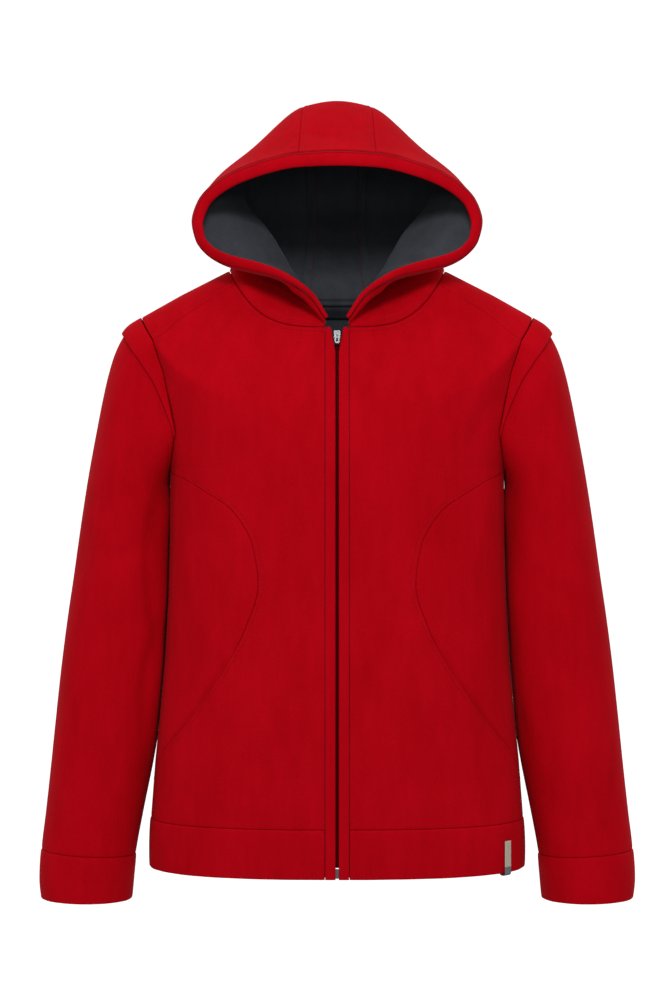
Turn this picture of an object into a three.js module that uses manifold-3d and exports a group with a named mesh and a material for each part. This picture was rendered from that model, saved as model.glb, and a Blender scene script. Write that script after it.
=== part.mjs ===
// Kids hoodie: a full-zip hooded jacket in bonded fleece, filled out with no wearer in it.
// Millimetres, +Z up. The front faces -Y and the wearer's left is at +X. The origin is the
// middle of the neck at shoulder height, where the wearer's neck and shoulders hold it up.
import * as THREE from 'three';
import { mergeVertices } from 'three/addons/utils/BufferGeometryUtils.js';
import Module from 'manifold-3d';

// Cloth thicknesses and the gap between sewn pieces
const SHELL = 2;
const BAND_PROUD = 0.4;
const STRIP_PROUD = 0.6;
const STRIP_THICK = 3;
const TAPE_THICK = 0.9;
const POCKET_THICK = 1.6;
const SEAM = 0.3;

// Heights and levels: below the underarm a body level is its height
const HEM = -527;
const HEM_SEAM = -483;
const SIDE_SEAM_LOW = -447;
const UNDERARM = -165;
const SHOULDER_END = -27;
const NECK = 20;

// Directions round the body, in degrees from the front middle: 90 is the side, 180 the back
const SIDE = 90;
const BACK = 180;
const SHOULDER_SEAM = 61.6;
const UNDERARM_HALF = 7;
const ARMHOLE_HALF = SIDE - SHOULDER_SEAM;
const STRIP_HALF_TURN = 17.6;
const CORNER = 2.5;

// Zip
const STRIP_OUTER = 10.5;
const STRIP_GAP = 1.4;
const STRIP_GAP_TOP = 5.5;
const GAP_OPENS = -62;
const GAP_TOP = -39;
const CHAIN_HALF = 2.6;
const TAPE_INNER = 3.1;
const TAPE_OUTER = 15;

// Colours
const RED = 0xaa0814;
const CHARCOAL = 0x2c2e33;
const SILVER = 0xc4c6c8;
const BEIGE = 0xcfc3ae;

const rad = THREE.MathUtils.degToRad;
const deg = THREE.MathUtils.radToDeg;
const lerp = THREE.MathUtils.lerp;
const clamp = THREE.MathUtils.clamp;

// A table is its column names and a row for each section
function table(columns, rows) {
  const names = columns.split(' ');
  return rows.map((row) => Object.fromEntries(names.map((name, i) => [name, row[i]])));
}

// Slope of a smooth curve through the rows that never overshoots them
function slopeAt(rows, i, key) {
  if (i === 0) return (rows[1][key] - rows[0][key]) / (rows[1].at - rows[0].at);
  if (i === rows.length - 1) return slopeAt([rows[i - 1], rows[i]], 0, key);
  const before = (rows[i][key] - rows[i - 1][key]) / (rows[i].at - rows[i - 1].at);
  const after = (rows[i + 1][key] - rows[i][key]) / (rows[i + 1].at - rows[i].at);
  return before * after <= 0 ? 0 : (2 * before * after) / (before + after);
}

// A table's columns at any place along it: smooth, or straight for the columns named so
function look(rows, at, straight = []) {
  let i = 0;
  while (i < rows.length - 2 && at > rows[i + 1].at) i += 1;
  const span = rows[i + 1].at - rows[i].at;
  const t = clamp((at - rows[i].at) / span, 0, 1);
  const found = { at };
  for (const key of Object.keys(rows[0])) {
    if (key === 'at') continue;
    const a = rows[i][key];
    const b = rows[i + 1][key];
    if (straight.includes(key)) {
      found[key] = lerp(a, b, t);
    } else {
      const pull = t * (1 - t) * span;
      const first = slopeAt(rows, i, key) * (1 - t);
      const last = slopeAt(rows, i + 1, key) * t;
      found[key] = lerp(a, b, t * t * (3 - 2 * t)) + pull * (first - last);
    }
  }
  return found;
}

// Whole steps from a to b, both ends included
const steps = (a, b, count) => Array.from({ length: count + 1 }, (_, i) => lerp(a, b, i / count));

// Body loops from hem to neck: each runs round the body through its front, side and back points
const BODY = table('at sideX sideZ frontY frontZ backY backZ lift', [
  [HEM, 171.5, HEM, 104, HEM, 98, HEM, 4],
  [HEM_SEAM, 170.5, HEM_SEAM, 105, HEM_SEAM, 99, HEM_SEAM, 4],
  [-430, 166.5, -430, 105, -430, 99, -430, 4],
  [-385, 162, -385, 104, -385, 98, -385, 4],
  [-340, 158, -340, 103, -340, 97, -340, 4],
  [-285, 154.8, -285, 101, -285, 96, -285, 4],
  [-230, 153.5, -230, 100, -230, 96, -230, 4],
  [UNDERARM, 153, UNDERARM, 98.5, UNDERARM, 95, UNDERARM, 4],
  [-130, 157, -130, 97.3, -151, 94, -150, 4.2],
  [-96, 163, -96, 95.7, -137, 92.6, -134, 4.4],
  [-61, 169, -61, 93.5, -122, 90.6, -118, 4.5],
  [SHOULDER_END, 179.5, -26, 90, -105, 87.5, -100, 4.5],
  [-4, 143, -5.5, 82, -75, 77, -60, 3.8],
  [NECK, 99, 17, 69, -39, 52, -8, 3.9],
]);

const loopAt = (at) => look(BODY, at, ['sideX', 'sideZ']);

// How far across and how deep a loop is in a direction, as parts of its half width and depth
function cornered(turn) {
  const s = Math.abs(Math.sin(rad(turn)));
  const c = Math.abs(Math.cos(rad(turn)));
  const reach = (s ** CORNER + c ** CORNER) ** (-1 / CORNER);
  return { across: reach * s, deep: reach * c };
}

function bodyPoint(turn, at) {
  const loop = loopAt(at);
  const { across, deep } = cornered(turn);
  const front = Math.cos(rad(turn)) > 0;
  const middleZ = front ? loop.frontZ : loop.backZ;
  return new THREE.Vector3(
    Math.sign(Math.sin(rad(turn))) * loop.sideX * across,
    (front ? -loop.frontY : loop.backY) * deep,
    middleZ + (loop.sideZ - middleZ) * across ** loop.lift,
  );
}

// The direction in which a loop stands at a distance across from the middle
function turnAtX(x, at) {
  const across = x / loopAt(at).sideX;
  return deg(Math.atan2(across, (1 - Math.abs(across) ** CORNER) ** (1 / CORNER)));
}

// The outward normal of a surface that is given by a function of two values
function normalOf(point, a, b, low, high) {
  const step = 0.4;
  const below = clamp(b - step, low, high);
  const above = clamp(b + step, low, high);
  const along = point(a + step, b).sub(point(a - step, b));
  const up = point(a, above).sub(point(a, below));
  return along.cross(up).normalize();
}

const bodyNormal = (turn, at) => normalOf(bodyPoint, turn, at, HEM, NECK);

// A node of the garment: a grid of { point, normal } made into one closed wall.
// present(i, j) says which cells of the grid the piece has. Its edges are drawn in by half a
// seam. proud is how far the outer face stands off the points.
function wall(grid, options) {
  const { thick = SHELL, proud = 0, round = false, inset = SEAM / 2 } = options;
  const { present = () => true } = options;
  const rows = grid.length;
  const columns = grid[0].length;
  const has = (i, j) => {
    if (i < 0 || i >= rows - 1) return false;
    if (round) return present(i, (j + columns) % columns);
    return j >= 0 && j < columns - 1 && present(i, j);
  };
  const spot = (i, j) => grid[i][(j + columns) % columns];
  const drawIn = (i, j) => {
    const point = spot(i, j).point.clone();
    const [downLeft, downRight] = [has(i - 1, j - 1), has(i - 1, j)];
    const [upLeft, upRight] = [has(i, j - 1), has(i, j)];
    const toward = (di, dj) => {
      const way = spot(i + di, j + dj).point.clone().sub(spot(i, j).point);
      point.addScaledVector(way.normalize(), inset);
    };
    if ((!upLeft && upRight) || (!downLeft && downRight)) toward(0, 1);
    if ((!upRight && upLeft) || (!downRight && downLeft)) toward(0, -1);
    if ((!downLeft && upLeft) || (!downRight && upRight)) toward(1, 0);
    if ((!upLeft && downLeft) || (!upRight && downRight)) toward(-1, 0);
    return point;
  };
  const positions = [];
  const index = [];
  const known = new Map();
  const vertex = (i, j, inner) => {
    const column = round ? (j + columns) % columns : j;
    const key = `${i} ${column} ${inner}`;
    if (!known.has(key)) {
      const place = drawIn(i, column);
      place.addScaledVector(grid[i][column].normal, inner ? proud - thick : proud);
      known.set(key, positions.length / 3);
      positions.push(place.x, place.y, place.z);
    }
    return known.get(key);
  };
  const quad = (a, b, c, d) => index.push(a, b, c, a, c, d);
  for (let i = 0; i < rows - 1; i += 1) {
    for (let j = 0; j < (round ? columns : columns - 1); j += 1) {
      if (!has(i, j)) continue;
      const out = [vertex(i, j, 0), vertex(i, j + 1, 0), vertex(i + 1, j + 1, 0), vertex(i + 1, j, 0)];
      const inn = [vertex(i, j, 1), vertex(i, j + 1, 1), vertex(i + 1, j + 1, 1), vertex(i + 1, j, 1)];
      quad(out[0], out[1], out[2], out[3]);
      index.push(inn[0], inn[2], inn[1], inn[0], inn[3], inn[2]);
      if (!has(i - 1, j)) quad(out[1], out[0], inn[0], inn[1]);
      if (!has(i, j + 1)) quad(out[2], out[1], inn[1], inn[2]);
      if (!has(i + 1, j)) quad(out[3], out[2], inn[2], inn[3]);
      if (!has(i, j - 1)) quad(out[0], out[3], inn[3], inn[0]);
    }
  }
  const geometry = new THREE.BufferGeometry();
  geometry.setAttribute('position', new THREE.Float32BufferAttribute(positions, 3));
  const first = grid[0][0];
  const cell = spot(0, 1).point.clone().sub(first.point);
  cell.cross(grid[1][0].point.clone().sub(first.point));
  geometry.setIndex(cell.dot(first.normal) < 0 ? index.reverse() : index);
  geometry.computeVertexNormals();
  return geometry;
}

// A solid through closed rings of points, with flat ends
function loft(rings) {
  const count = rings[0].length;
  const positions = rings.flat().flatMap((point) => point.toArray());
  const index = [];
  for (let i = 0; i < rings.length - 1; i += 1) {
    for (let j = 0; j < count; j += 1) {
      const next = (j + 1) % count;
      const [a, b] = [i * count + j, i * count + next];
      index.push(a, b, b + count, a, b + count, a + count);
    }
  }
  const last = (rings.length - 1) * count;
  for (let j = 1; j < count - 1; j += 1) {
    index.push(0, j + 1, j, last, last + j, last + j + 1);
  }
  const geometry = new THREE.BufferGeometry();
  geometry.setAttribute('position', new THREE.Float32BufferAttribute(positions, 3));
  geometry.setIndex(index);
  geometry.computeVertexNormals();
  return geometry;
}

const hoodie = new THREE.Group();

function addPiece(name, geometry, color, roughness = 0.85, metalness = 0, parent = hoodie) {
  const mesh = new THREE.Mesh(
    geometry,
    new THREE.MeshStandardMaterial({ color, roughness, metalness }),
  );
  mesh.name = name;
  parent.add(mesh);
}

// The wearer's left is at +X
const SIDES = [{ side: 'left', sign: 1 }, { side: 'right', sign: -1 }];

const bodyGrid = (levels, turnsAt) => levels.map((at) => turnsAt(at).map((turn) => ({
  point: bodyPoint(turn, at),
  normal: bodyNormal(turn, at),
})));

// The curved side-front seam: its direction at each height, and below it a plain line
const CURVED_SEAM = table('at turn', [
  [HEM_SEAM, 66],
  [-465, 74],
  [SIDE_SEAM_LOW, 83],
  [-430, 71],
  [-400, 53.5],
  [-378, 45.7],
  [-359, 40.4],
  [-338, 35.2],
  [-306, 29.3],
  [-269, 25.6],
  [-233, 27.7],
  [-219, 30.4],
  [-202, 36.3],
  [-190, 45],
  [-177, 56.2],
  [-171, 66.5],
  [UNDERARM, SIDE - UNDERARM_HALF],
]);

// Half of the armhole's width, as a turn from the side: round at the bottom, then even
function armholeHalf(at) {
  const up = clamp((at - UNDERARM) / (SHOULDER_END - UNDERARM) / 0.4, 0, 1);
  return lerp(UNDERARM_HALF, ARMHOLE_HALF, Math.sqrt(1 - (1 - up) ** 2));
}

// Outer edge of the front panel at each level
function frontEdge(at) {
  if (at <= UNDERARM) return look(CURVED_SEAM, at).turn;
  return at < SHOULDER_END ? SIDE - armholeHalf(at) : SHOULDER_SEAM;
}

const stripEdge = (at) => turnAtX(STRIP_OUTER + SEAM, at);

const LOW_LEVELS = [
  ...[HEM_SEAM, -465, SIDE_SEAM_LOW, -432, -415, -395, -370, -340, -306, -269, -240, -221],
  ...[-208, -197, -188, -180, -173, -168],
];
const BACK_LEVELS = [HEM_SEAM, -440, -390, -340, -290, -240, -200, -180];
const ARMHOLE_LEVELS = [UNDERARM, -160, -149, -132, -111, -89, -67, -46];
const YOKE_LEVELS = steps(SHOULDER_END, NECK, 5);
const FRONT_COLUMNS = 7;
const POCKET_COLUMNS = 4;
const SHOULDER_COLUMNS = 6;
const BACK_COLUMNS = 7;

// Centre fronts: from the zip strip to the curved seam, armhole and shoulder seam
function makeFront({ side, sign }) {
  const levels = [...LOW_LEVELS, ...ARMHOLE_LEVELS, ...YOKE_LEVELS];
  const turnsAt = (at) => [
    ...steps(stripEdge(at), frontEdge(at), FRONT_COLUMNS),
    ...steps(frontEdge(at), SIDE, POCKET_COLUMNS).slice(1),
  ].map((turn) => sign * turn);
  const present = (i, j) => j < FRONT_COLUMNS || levels[i + 1] <= SIDE_SEAM_LOW;
  addPiece(`front_${side}`, wall(bodyGrid(levels, turnsAt), { present }), RED);
}

// Crescent panels between the curved seam and the side seam
function makeSideFront({ side, sign }) {
  const levels = [...LOW_LEVELS, UNDERARM].filter((at) => at >= SIDE_SEAM_LOW);
  const turnsAt = (at) => steps(frontEdge(at), SIDE, POCKET_COLUMNS).map((turn) => sign * turn);
  addPiece(`side_front_${side}`, wall(bodyGrid(levels, turnsAt), { inset: SEAM }), RED);
}

// Back: one piece, over the shoulders to the forward seams
function makeBack() {
  const levels = [...BACK_LEVELS, ...ARMHOLE_LEVELS, ...YOKE_LEVELS];
  const turnsAt = (at) => {
    const low = lerp(UNDERARM_HALF, 25, clamp((UNDERARM - at) / 65, 0, 1));
    const inner = SIDE + (at <= UNDERARM ? low : armholeHalf(Math.min(at, SHOULDER_END)));
    const outer = at < SHOULDER_END ? SIDE : SHOULDER_SEAM;
    const half = [
      ...steps(outer, inner, SHOULDER_COLUMNS),
      ...steps(inner, BACK, BACK_COLUMNS).slice(1),
    ];
    return [...half, ...half.slice(0, -1).reverse().map((turn) => 2 * BACK - turn)];
  };
  const last = 2 * (SHOULDER_COLUMNS + BACK_COLUMNS) - SHOULDER_COLUMNS;
  const present = (i, j) => {
    const main = j >= SHOULDER_COLUMNS && j < last;
    return main || levels[i + 1] <= UNDERARM || levels[i] >= SHOULDER_END;
  };
  addPiece('back', wall(bodyGrid(levels, turnsAt), { present }), RED);
}

// Hem band: cut as three, joined at the side seams
function makeHemBand() {
  const levels = steps(HEM, HEM_SEAM, 3);
  const band = (from, to, count) => {
    const turnsAt = (at) => steps(from(at), to, count);
    return wall(bodyGrid(levels, turnsAt), { thick: SHELL + BAND_PROUD, proud: BAND_PROUD });
  };
  for (const { side, sign } of SIDES) {
    addPiece(`hem_front_${side}`, band((at) => sign * stripEdge(at), sign * SIDE, 10), RED);
  }
  addPiece('hem_back', band(() => SIDE, 2 * BACK - SIDE, 18), RED);
}

// Pocket bags: two thin layers laid together behind the front, mouth at the curved seam
const POCKET_MOUTH = table('at inner', [
  [-440, 42],
  [-425, 24],
  [-395, 15],
  [-350, 13],
  [-330, 16],
  [-316, 22],
]);

function makePocketBag({ side, sign }) {
  const levels = [-437, -425, -410, -390, -365, -340, -318];
  const depth = SHELL + SEAM + 0.5;
  const turnsAt = (at) => steps(look(POCKET_MOUTH, at).inner, frontEdge(at) - 1, 5)
    .map((turn) => sign * turn);
  const bag = wall(bodyGrid(levels, turnsAt), { thick: POCKET_THICK, proud: -depth });
  addPiece(`pocket_bag_${side}`, bag, CHARCOAL);
}

// The armhole's edge from the middle of the underarm up the front, over and down the back
function armholeEdge(sign) {
  const up = [...ARMHOLE_LEVELS, SHOULDER_END];
  const over = steps(SHOULDER_SEAM, 2 * SIDE - SHOULDER_SEAM, SHOULDER_COLUMNS).slice(1, -1);
  return [
    [SIDE, UNDERARM],
    ...up.map((at) => [SIDE - armholeHalf(at), at]),
    ...over.map((turn) => [turn, SHOULDER_END]),
    ...up.reverse().map((at) => [SIDE + armholeHalf(at), at]),
  ].map(([turn, at]) => ({
    at,
    top: at === SHOULDER_END,
    point: bodyPoint(sign * turn, at),
    normal: bodyNormal(sign * turn, at),
  }));
}

// Sleeve rings from armhole to cuff: each has an outer point, an inner point and a half depth
const SLEEVE = table('at outX outZ inX inZ depth midY', [
  [0, 178, -30, 154.5, -164, 48, 0],
  [1, 191.5, -40, 156, -168, 51, 0],
  [2, 202, -57, 156, -173, 54, 1],
  [3, 209.5, -78, 156, -180, 56, 3],
  [4, 216, -104, 155, -190, 58, 5],
  [5, 222, -133, 153, -204, 58.5, 7],
  [6, 229, -170, 151, -224, 59, 9],
  [7, 236, -214, 149, -250, 58, 10],
  [8, 242.5, -260, 148, -280, 57, 10],
  [9, 249, -305, 149, -316, 56, 9],
  [10, 254.5, -350, 153, -355, 54, 7],
  [11, 259, -395, 160, -397, 52, 4],
  [12, 263, -438, 169.5, -439, 49, 0],
  [13, 267, -478, 178, -480, 46, -4],
  [14, 270.5, -512, 184.5, -517, 43.5, -8],
  [15, 271.2, -538, 187, -541, 42, -10],
  [16, 270, -556.5, 188, -557.5, 41.5, -11],
]);
const CUFF_SEAM = 14;
const CUFF_END = 16;
const FLANGE_THICK = 2.5;
const HEAD_FADES = 5;
const HEAD_STEPS = [0, 0.4, 0.8];
const EVEN_FROM = 1.4;
const SLEEVE_ROWS = 15;
const FLANGE_START = 0.08;
const FLANGE_REACH = 1.25;
const FLANGE_TIP = 0.12;
const FLANGE_LOW = -135;

// How far out the side of the body is, where the sleeve lies against it
const ARM_REST = 1;
const REST_REACH = 13;
const REST_BELOW = 3;

function bodySide(y, z) {
  const loop = loopAt(Math.min(z, UNDERARM));
  const deep = Math.min(Math.abs(y) / (y < 0 ? loop.frontY : loop.backY), 0.99);
  return loop.sideX * (1 - deep ** CORNER) ** (1 / CORNER) + ARM_REST;
}

// A ring's point: 0 degrees is its outer point, 90 the front, 180 the inner point
function ringPoint(sign, angle, at) {
  const ring = look(SLEEVE, at);
  const half = new THREE.Vector3(ring.outX - ring.inX, 0, ring.outZ - ring.inZ).multiplyScalar(0.5);
  const point = new THREE.Vector3(ring.inX, ring.midY, ring.inZ).add(half);
  point.addScaledVector(half, Math.cos(rad(angle)));
  point.y -= ring.depth * Math.sin(rad(angle));
  const side = bodySide(point.y, point.z);
  const rests = clamp((UNDERARM - REST_BELOW - point.z) / REST_REACH, 0, 1);
  const clear = (point.x + side + Math.hypot(point.x - side, 2 * ARM_REST)) / 2;
  point.x = sign * lerp(point.x, clear, rests);
  return point;
}

// Full over the shoulder, and gone where the flange ends low on the armhole
const flangeShare = (edge) => clamp((edge.at - FLANGE_LOW) / (SHOULDER_END - FLANGE_LOW), 0, 1);

// Sleeve points round the armhole's own edge points, which flow into even rings further down
function sleeveFunction(sign) {
  const edges = armholeEdge(sign);
  const outward = new THREE.Vector3(sign * 0.985, 0, -0.17);
  const ring = SLEEVE[0];
  const half = new THREE.Vector3(ring.outX - ring.inX, 0, ring.outZ - ring.inZ).multiplyScalar(0.5);
  const middle = new THREE.Vector3(ring.inX, ring.midY, ring.inZ).add(half);
  const starts = edges.map((edge, i) => {
    const beneath = Math.min(1, flangeShare(edge) * 4);
    const start = edge.point.clone().addScaledVector(outward, SEAM);
    const off = edge.point.clone();
    off.x *= sign;
    off.sub(middle);
    const inward = new THREE.Vector3(-off.x * sign, -off.y, -off.z).normalize();
    start.addScaledVector(inward, beneath * (FLANGE_THICK + SEAM));
    let angle = deg(Math.atan2(-off.y / ring.depth, off.dot(half) / half.lengthSq()));
    if (i === 0) angle = 180;
    if (angle < -170 || (i > edges.length / 2 && angle > 0)) angle -= angle > 0 ? 360 : 0;
    return { start, angle, shift: start.clone().sub(ringPoint(sign, angle, 0)) };
  });
  return (i, at) => {
    const { angle, shift } = starts[i];
    const even = 180 - (360 * i) / edges.length;
    const turned = lerp(angle, even, clamp((at - 1) / 7, 0, 1));
    const fade = 1 - clamp(at / HEAD_FADES, 0, 1);
    return ringPoint(sign, turned, at).addScaledVector(shift, fade * fade * (3 - 2 * fade));
  };
}

// Grid of a round piece, with normals from its own neighbouring points
function roundGrid(point, count, places, sign) {
  const rows = places.map((at) => Array.from({ length: count }, (_, i) => point(i, at)));
  return rows.map((row, i) => row.map((spot, j) => {
    const along = row[(j + 1) % count].clone().sub(row[(j + count - 1) % count]);
    const next = rows[Math.min(i + 1, rows.length - 1)][j];
    const up = next.clone().sub(rows[Math.max(i - 1, 0)][j]);
    return { point: spot, normal: up.cross(along).multiplyScalar(sign).normalize() };
  }));
}

function makeSleeve({ side, sign }) {
  const point = sleeveFunction(sign);
  const count = armholeEdge(sign).length;
  const places = [...HEAD_STEPS, ...steps(EVEN_FROM, CUFF_SEAM, SLEEVE_ROWS)];
  const sleeve = roundGrid(point, count, places, sign);
  addPiece(`sleeve_${side}`, wall(sleeve, { round: true }), RED);

  const cuff = roundGrid(point, count, steps(CUFF_SEAM, CUFF_END, 3), sign);
  const thick = SHELL + BAND_PROUD;
  addPiece(`cuff_${side}`, wall(cuff, { round: true, thick, proud: BAND_PROUD }), RED);
}

// Flange: a strip sewn into the armhole that lies over the sleeve head, widest at the shoulder
function makeFlange({ side, sign }) {
  const point = sleeveFunction(sign);
  const edges = armholeEdge(sign);
  const chosen = edges.map((edge, i) => i).filter((i) => edges[i].at > FLANGE_LOW);
  const rows = steps(0, 1, 3).map((share) => chosen.map((i) => {
    const width = FLANGE_REACH * lerp(FLANGE_TIP, 1, flangeShare(edges[i]));
    const at = lerp(FLANGE_START, width, share);
    const ahead = point(i, at + 0.1).sub(point(i, Math.max(at - 0.1, 0)));
    const along = point(i + 1, at).sub(point(i - 1, at));
    return { point: point(i, at), normal: ahead.cross(along).multiplyScalar(sign).normalize() };
  }));
  const proud = FLANGE_THICK + 2 * SEAM;
  addPiece(`armhole_flange_${side}`, wall(rows, { thick: FLANGE_THICK, proud }), RED);
}

// Hood: low, crown and rim points for each direction, over the body's own neck edge
const HOOD = table('at lowX lowY lowZ topX topY topZ rimX rimY rimZ', [
  [6, 11, -70.5, -37, 11, -72, -35, 10.8, -73, -33],
  [17, 18, -60, -27, 26, -70, -18, 27, -73.5, -12],
  [30, 27, -42, -14, 47, -64, 0, 55, -71, 3],
  [46, 38, -20, 8, 66, -50, 14, 77, -60, 9],
  [SHOULDER_SEAM, 50, -2, 30, 82, -32, 34, 99.5, -50, 16],
  [76, 60, 14, 48, 94, -20, 54, 116.5, -43, 26],
  [SIDE, 71, 30, 63, 105, -6, 73, 128.5, -38, 41],
  [104, 80, 48, 73, 110, 10, 89, 132.5, -35, 58],
  [118.4, 85, 68, 80, 105.5, 26, 105.5, 126.5, -34, 78],
  [140, 66, 94, 84, 74, 46, 135.5, 94, -42, 104],
  [BACK - STRIP_HALF_TURN, 24, 108, 84, 31, 48, 174.5, 35, -54, 119.5],
  [BACK, 0, 110, 85, 0, 48, 180, 0, -56, 121],
  [BACK + STRIP_HALF_TURN, -24, 108, 84, -31, 48, 174.5, -35, -54, 119.5],
]);

// Hood folds: troughs pressed in along the normal, each round one spot
const HOOD_FOLDS = table('turn along depth turnReach alongReach', [
  [BACK, 0.45, 11, 42, 0.045],
  [45, 0.68, 2.6, 3.4, 0.16],
  [32, 0.66, 2.4, 2.8, 0.16],
  [98, 0.8, 5, 8, 0.13],
]);

// The hood rises from the neck seam for this part of the way to its low point
const FOOT = 0.3;
const FOOT_REACH = 24;

function hoodBase(turn, along) {
  const facing = turn > BACK ? 2 * BACK - turn : turn;
  const sign = turn > BACK ? -1 : 1;
  const row = look(HOOD, Math.abs(facing));
  const neck = bodyPoint(Math.abs(facing), NECK);
  const low = new THREE.Vector3(row.lowX, row.lowY, row.lowZ);
  const rise = neck.clone().sub(bodyPoint(Math.abs(facing), NECK - 2)).normalize();
  rise.z += 1;
  const lift = FOOT * Math.min(low.distanceTo(neck), FOOT_REACH);
  const foot = neck.clone().addScaledVector(rise.normalize(), lift);
  const bows = new THREE.CatmullRomCurve3([
    neck,
    foot,
    low,
    new THREE.Vector3(row.topX, row.topY, row.topZ),
    new THREE.Vector3(row.rimX, row.rimY, row.rimZ),
  ]);
  const point = bows.getPoint(along);
  point.x *= sign;
  return point;
}

function hoodPoint(turn, along) {
  const point = hoodBase(turn, along);
  const facing = turn > BACK ? 2 * BACK - turn : turn;
  let press = 0;
  for (const fold of HOOD_FOLDS) {
    const a = (facing - fold.turn) / fold.turnReach;
    const b = (along - fold.along) / fold.alongReach;
    press += fold.depth * Math.exp(-a * a - b * b);
  }
  press *= clamp(along / 0.12, 0, 1);
  return point.addScaledVector(normalOf(hoodBase, turn, along, 0.02, 0.98), -press);
}

function hoodNormal(turn, along) {
  const low = clamp(along - 0.02, 0, 1);
  const high = clamp(along + 0.02, 0, 1);
  const across = hoodPoint(turn + 0.5, along).sub(hoodPoint(turn - 0.5, along));
  return across.cross(hoodPoint(turn, high).sub(hoodPoint(turn, low))).normalize();
}

const HOOD_ROWS = 12;
const hoodGrid = (turns) => steps(0, 1, HOOD_ROWS).map((along) => turns.map((turn) => ({
  point: hoodPoint(turn, along),
  normal: hoodNormal(turn, along),
})));

// The neck edge's directions on one side, from the zip to the back middle
const neckTurns = [
  ...steps(stripEdge(NECK), SHOULDER_SEAM, FRONT_COLUMNS),
  ...steps(SHOULDER_SEAM, 2 * SIDE - SHOULDER_SEAM, SHOULDER_COLUMNS).slice(1),
  ...steps(2 * SIDE - SHOULDER_SEAM, BACK, BACK_COLUMNS).slice(1),
];

function makeHood() {
  const sideTurns = neckTurns.filter((turn) => turn <= BACK - STRIP_HALF_TURN + 0.01);
  const whole = (turn) => 2 * BACK - turn;
  addPiece('hood_side_left', wall(hoodGrid(sideTurns), {}), RED);
  addPiece('hood_side_right', wall(hoodGrid(sideTurns.map(whole).reverse()), {}), RED);
  const centre = neckTurns.filter((turn) => turn >= BACK - STRIP_HALF_TURN - 0.01);
  const strip = [...centre, ...centre.slice(0, -1).reverse().map(whole)];
  addPiece('hood_centre', wall(hoodGrid(strip), {}), RED);
}

// Hood rim: the turned and stitched edge of the hood, a puffy band that rolls inward
const RIM = table('at halfWide', [
  [0, 1.5],
  [6, 1.5],
  [17, 2.4],
  [30, 4],
  [46, 5.4],
  [SHOULDER_SEAM, 5.8],
  [SIDE, 5.5],
  [118, 5.6],
  [150, 6.8],
  [BACK, 7.4],
]);
const RIM_HALF_THICK = 2.6;
const RIM_TILT = 20;
const RIM_CLEAR = 71;
const RIM_SIDES = 8;
const RIM_GAP = 1.05;

function makeHoodRim() {
  const turns = [...neckTurns, ...neckTurns.slice(0, -1).reverse().map((turn) => 2 * BACK - turn)];
  const eye = new THREE.Vector3(0, -50, 50);
  const rings = turns.map((turn) => {
    const edge = hoodPoint(turn, 1);
    const normal = hoodNormal(turn, 1);
    const ahead = edge.clone().sub(hoodPoint(turn, 0.96)).normalize();
    const inward = eye.clone().sub(edge);
    inward.y = 0;
    inward.normalize();
    const along = hoodPoint(turn + 1, 1).sub(hoodPoint(turn - 1, 1)).normalize();
    const forward = new THREE.Vector3(0, -1, 0);
    forward.addScaledVector(along, -forward.dot(along)).normalize();
    inward.addScaledVector(along, -inward.dot(along));
    inward.addScaledVector(forward, -inward.dot(forward)).normalize();
    const behind = deg(Math.atan2(ahead.dot(forward), -ahead.dot(inward)));
    const opened = RIM_CLEAR - behind;
    const tilt = rad((RIM_TILT + opened + Math.hypot(RIM_TILT - opened, RIM_TILT)) / 2);
    const wide = inward.multiplyScalar(Math.cos(tilt)).addScaledVector(forward, Math.sin(tilt));
    const thick = along.cross(wide).normalize();
    const half = look(RIM, Math.min(turn, 2 * BACK - turn)).halfWide;
    const centre = edge.clone().addScaledVector(wide, half + RIM_GAP).addScaledVector(normal, -1);
    return Array.from({ length: RIM_SIDES }, (_, i) => {
      const angle = rad((360 * i) / RIM_SIDES);
      const point = centre.clone().addScaledVector(wide, half * Math.cos(angle));
      return point.addScaledVector(thick, RIM_HALF_THICK * Math.sin(angle));
    });
  });
  addPiece('hood_rim', loft(rings), RED);
}

// Neck tape: binds the back neck seam inside
function makeNeckTape() {
  const turnsAt = () => steps(2 * SIDE - SHOULDER_SEAM, 2 * BACK - 2 * SIDE + SHOULDER_SEAM, 14);
  const grid = bodyGrid([15, 17.5, NECK], turnsAt);
  addPiece('neck_tape', wall(grid, { thick: 1, proud: -SHELL - SEAM - 0.3 }), CHARCOAL);
}

// Zip strips: the fronts' folded edges, which meet over the zip and part at its top
const STRIP_LEVELS = [
  ...[HEM, -505, HEM_SEAM, -450, -410, -370, -330, -290, -250, -210, -175, UNDERARM],
  ...[-140, -100, -61, SHOULDER_END, -19, -11, -4, 4, 9, 14, NECK],
];

function stripGap(at) {
  const { frontZ } = loopAt(at);
  const open = clamp((frontZ - GAP_OPENS) / (GAP_TOP - GAP_OPENS), 0, 1);
  return lerp(STRIP_GAP, STRIP_GAP_TOP, open);
}

function makeZipStrip({ side, sign }) {
  const turnsAt = (at) => steps(turnAtX(stripGap(at), at), turnAtX(STRIP_OUTER, at), 2)
    .map((turn) => sign * turn);
  const grid = bodyGrid(STRIP_LEVELS, turnsAt);
  addPiece(`zip_strip_${side}`, wall(grid, { thick: STRIP_THICK, proud: STRIP_PROUD }), RED);
}

// Zip tapes behind the strips, and the chain of teeth between them
const BEHIND_STRIP = STRIP_THICK - STRIP_PROUD + SEAM + 0.5;
const CHAIN_THICK = 2.4;
const CHAIN_TOP = 11;
const CHAIN_BOTTOM = -517;

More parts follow.
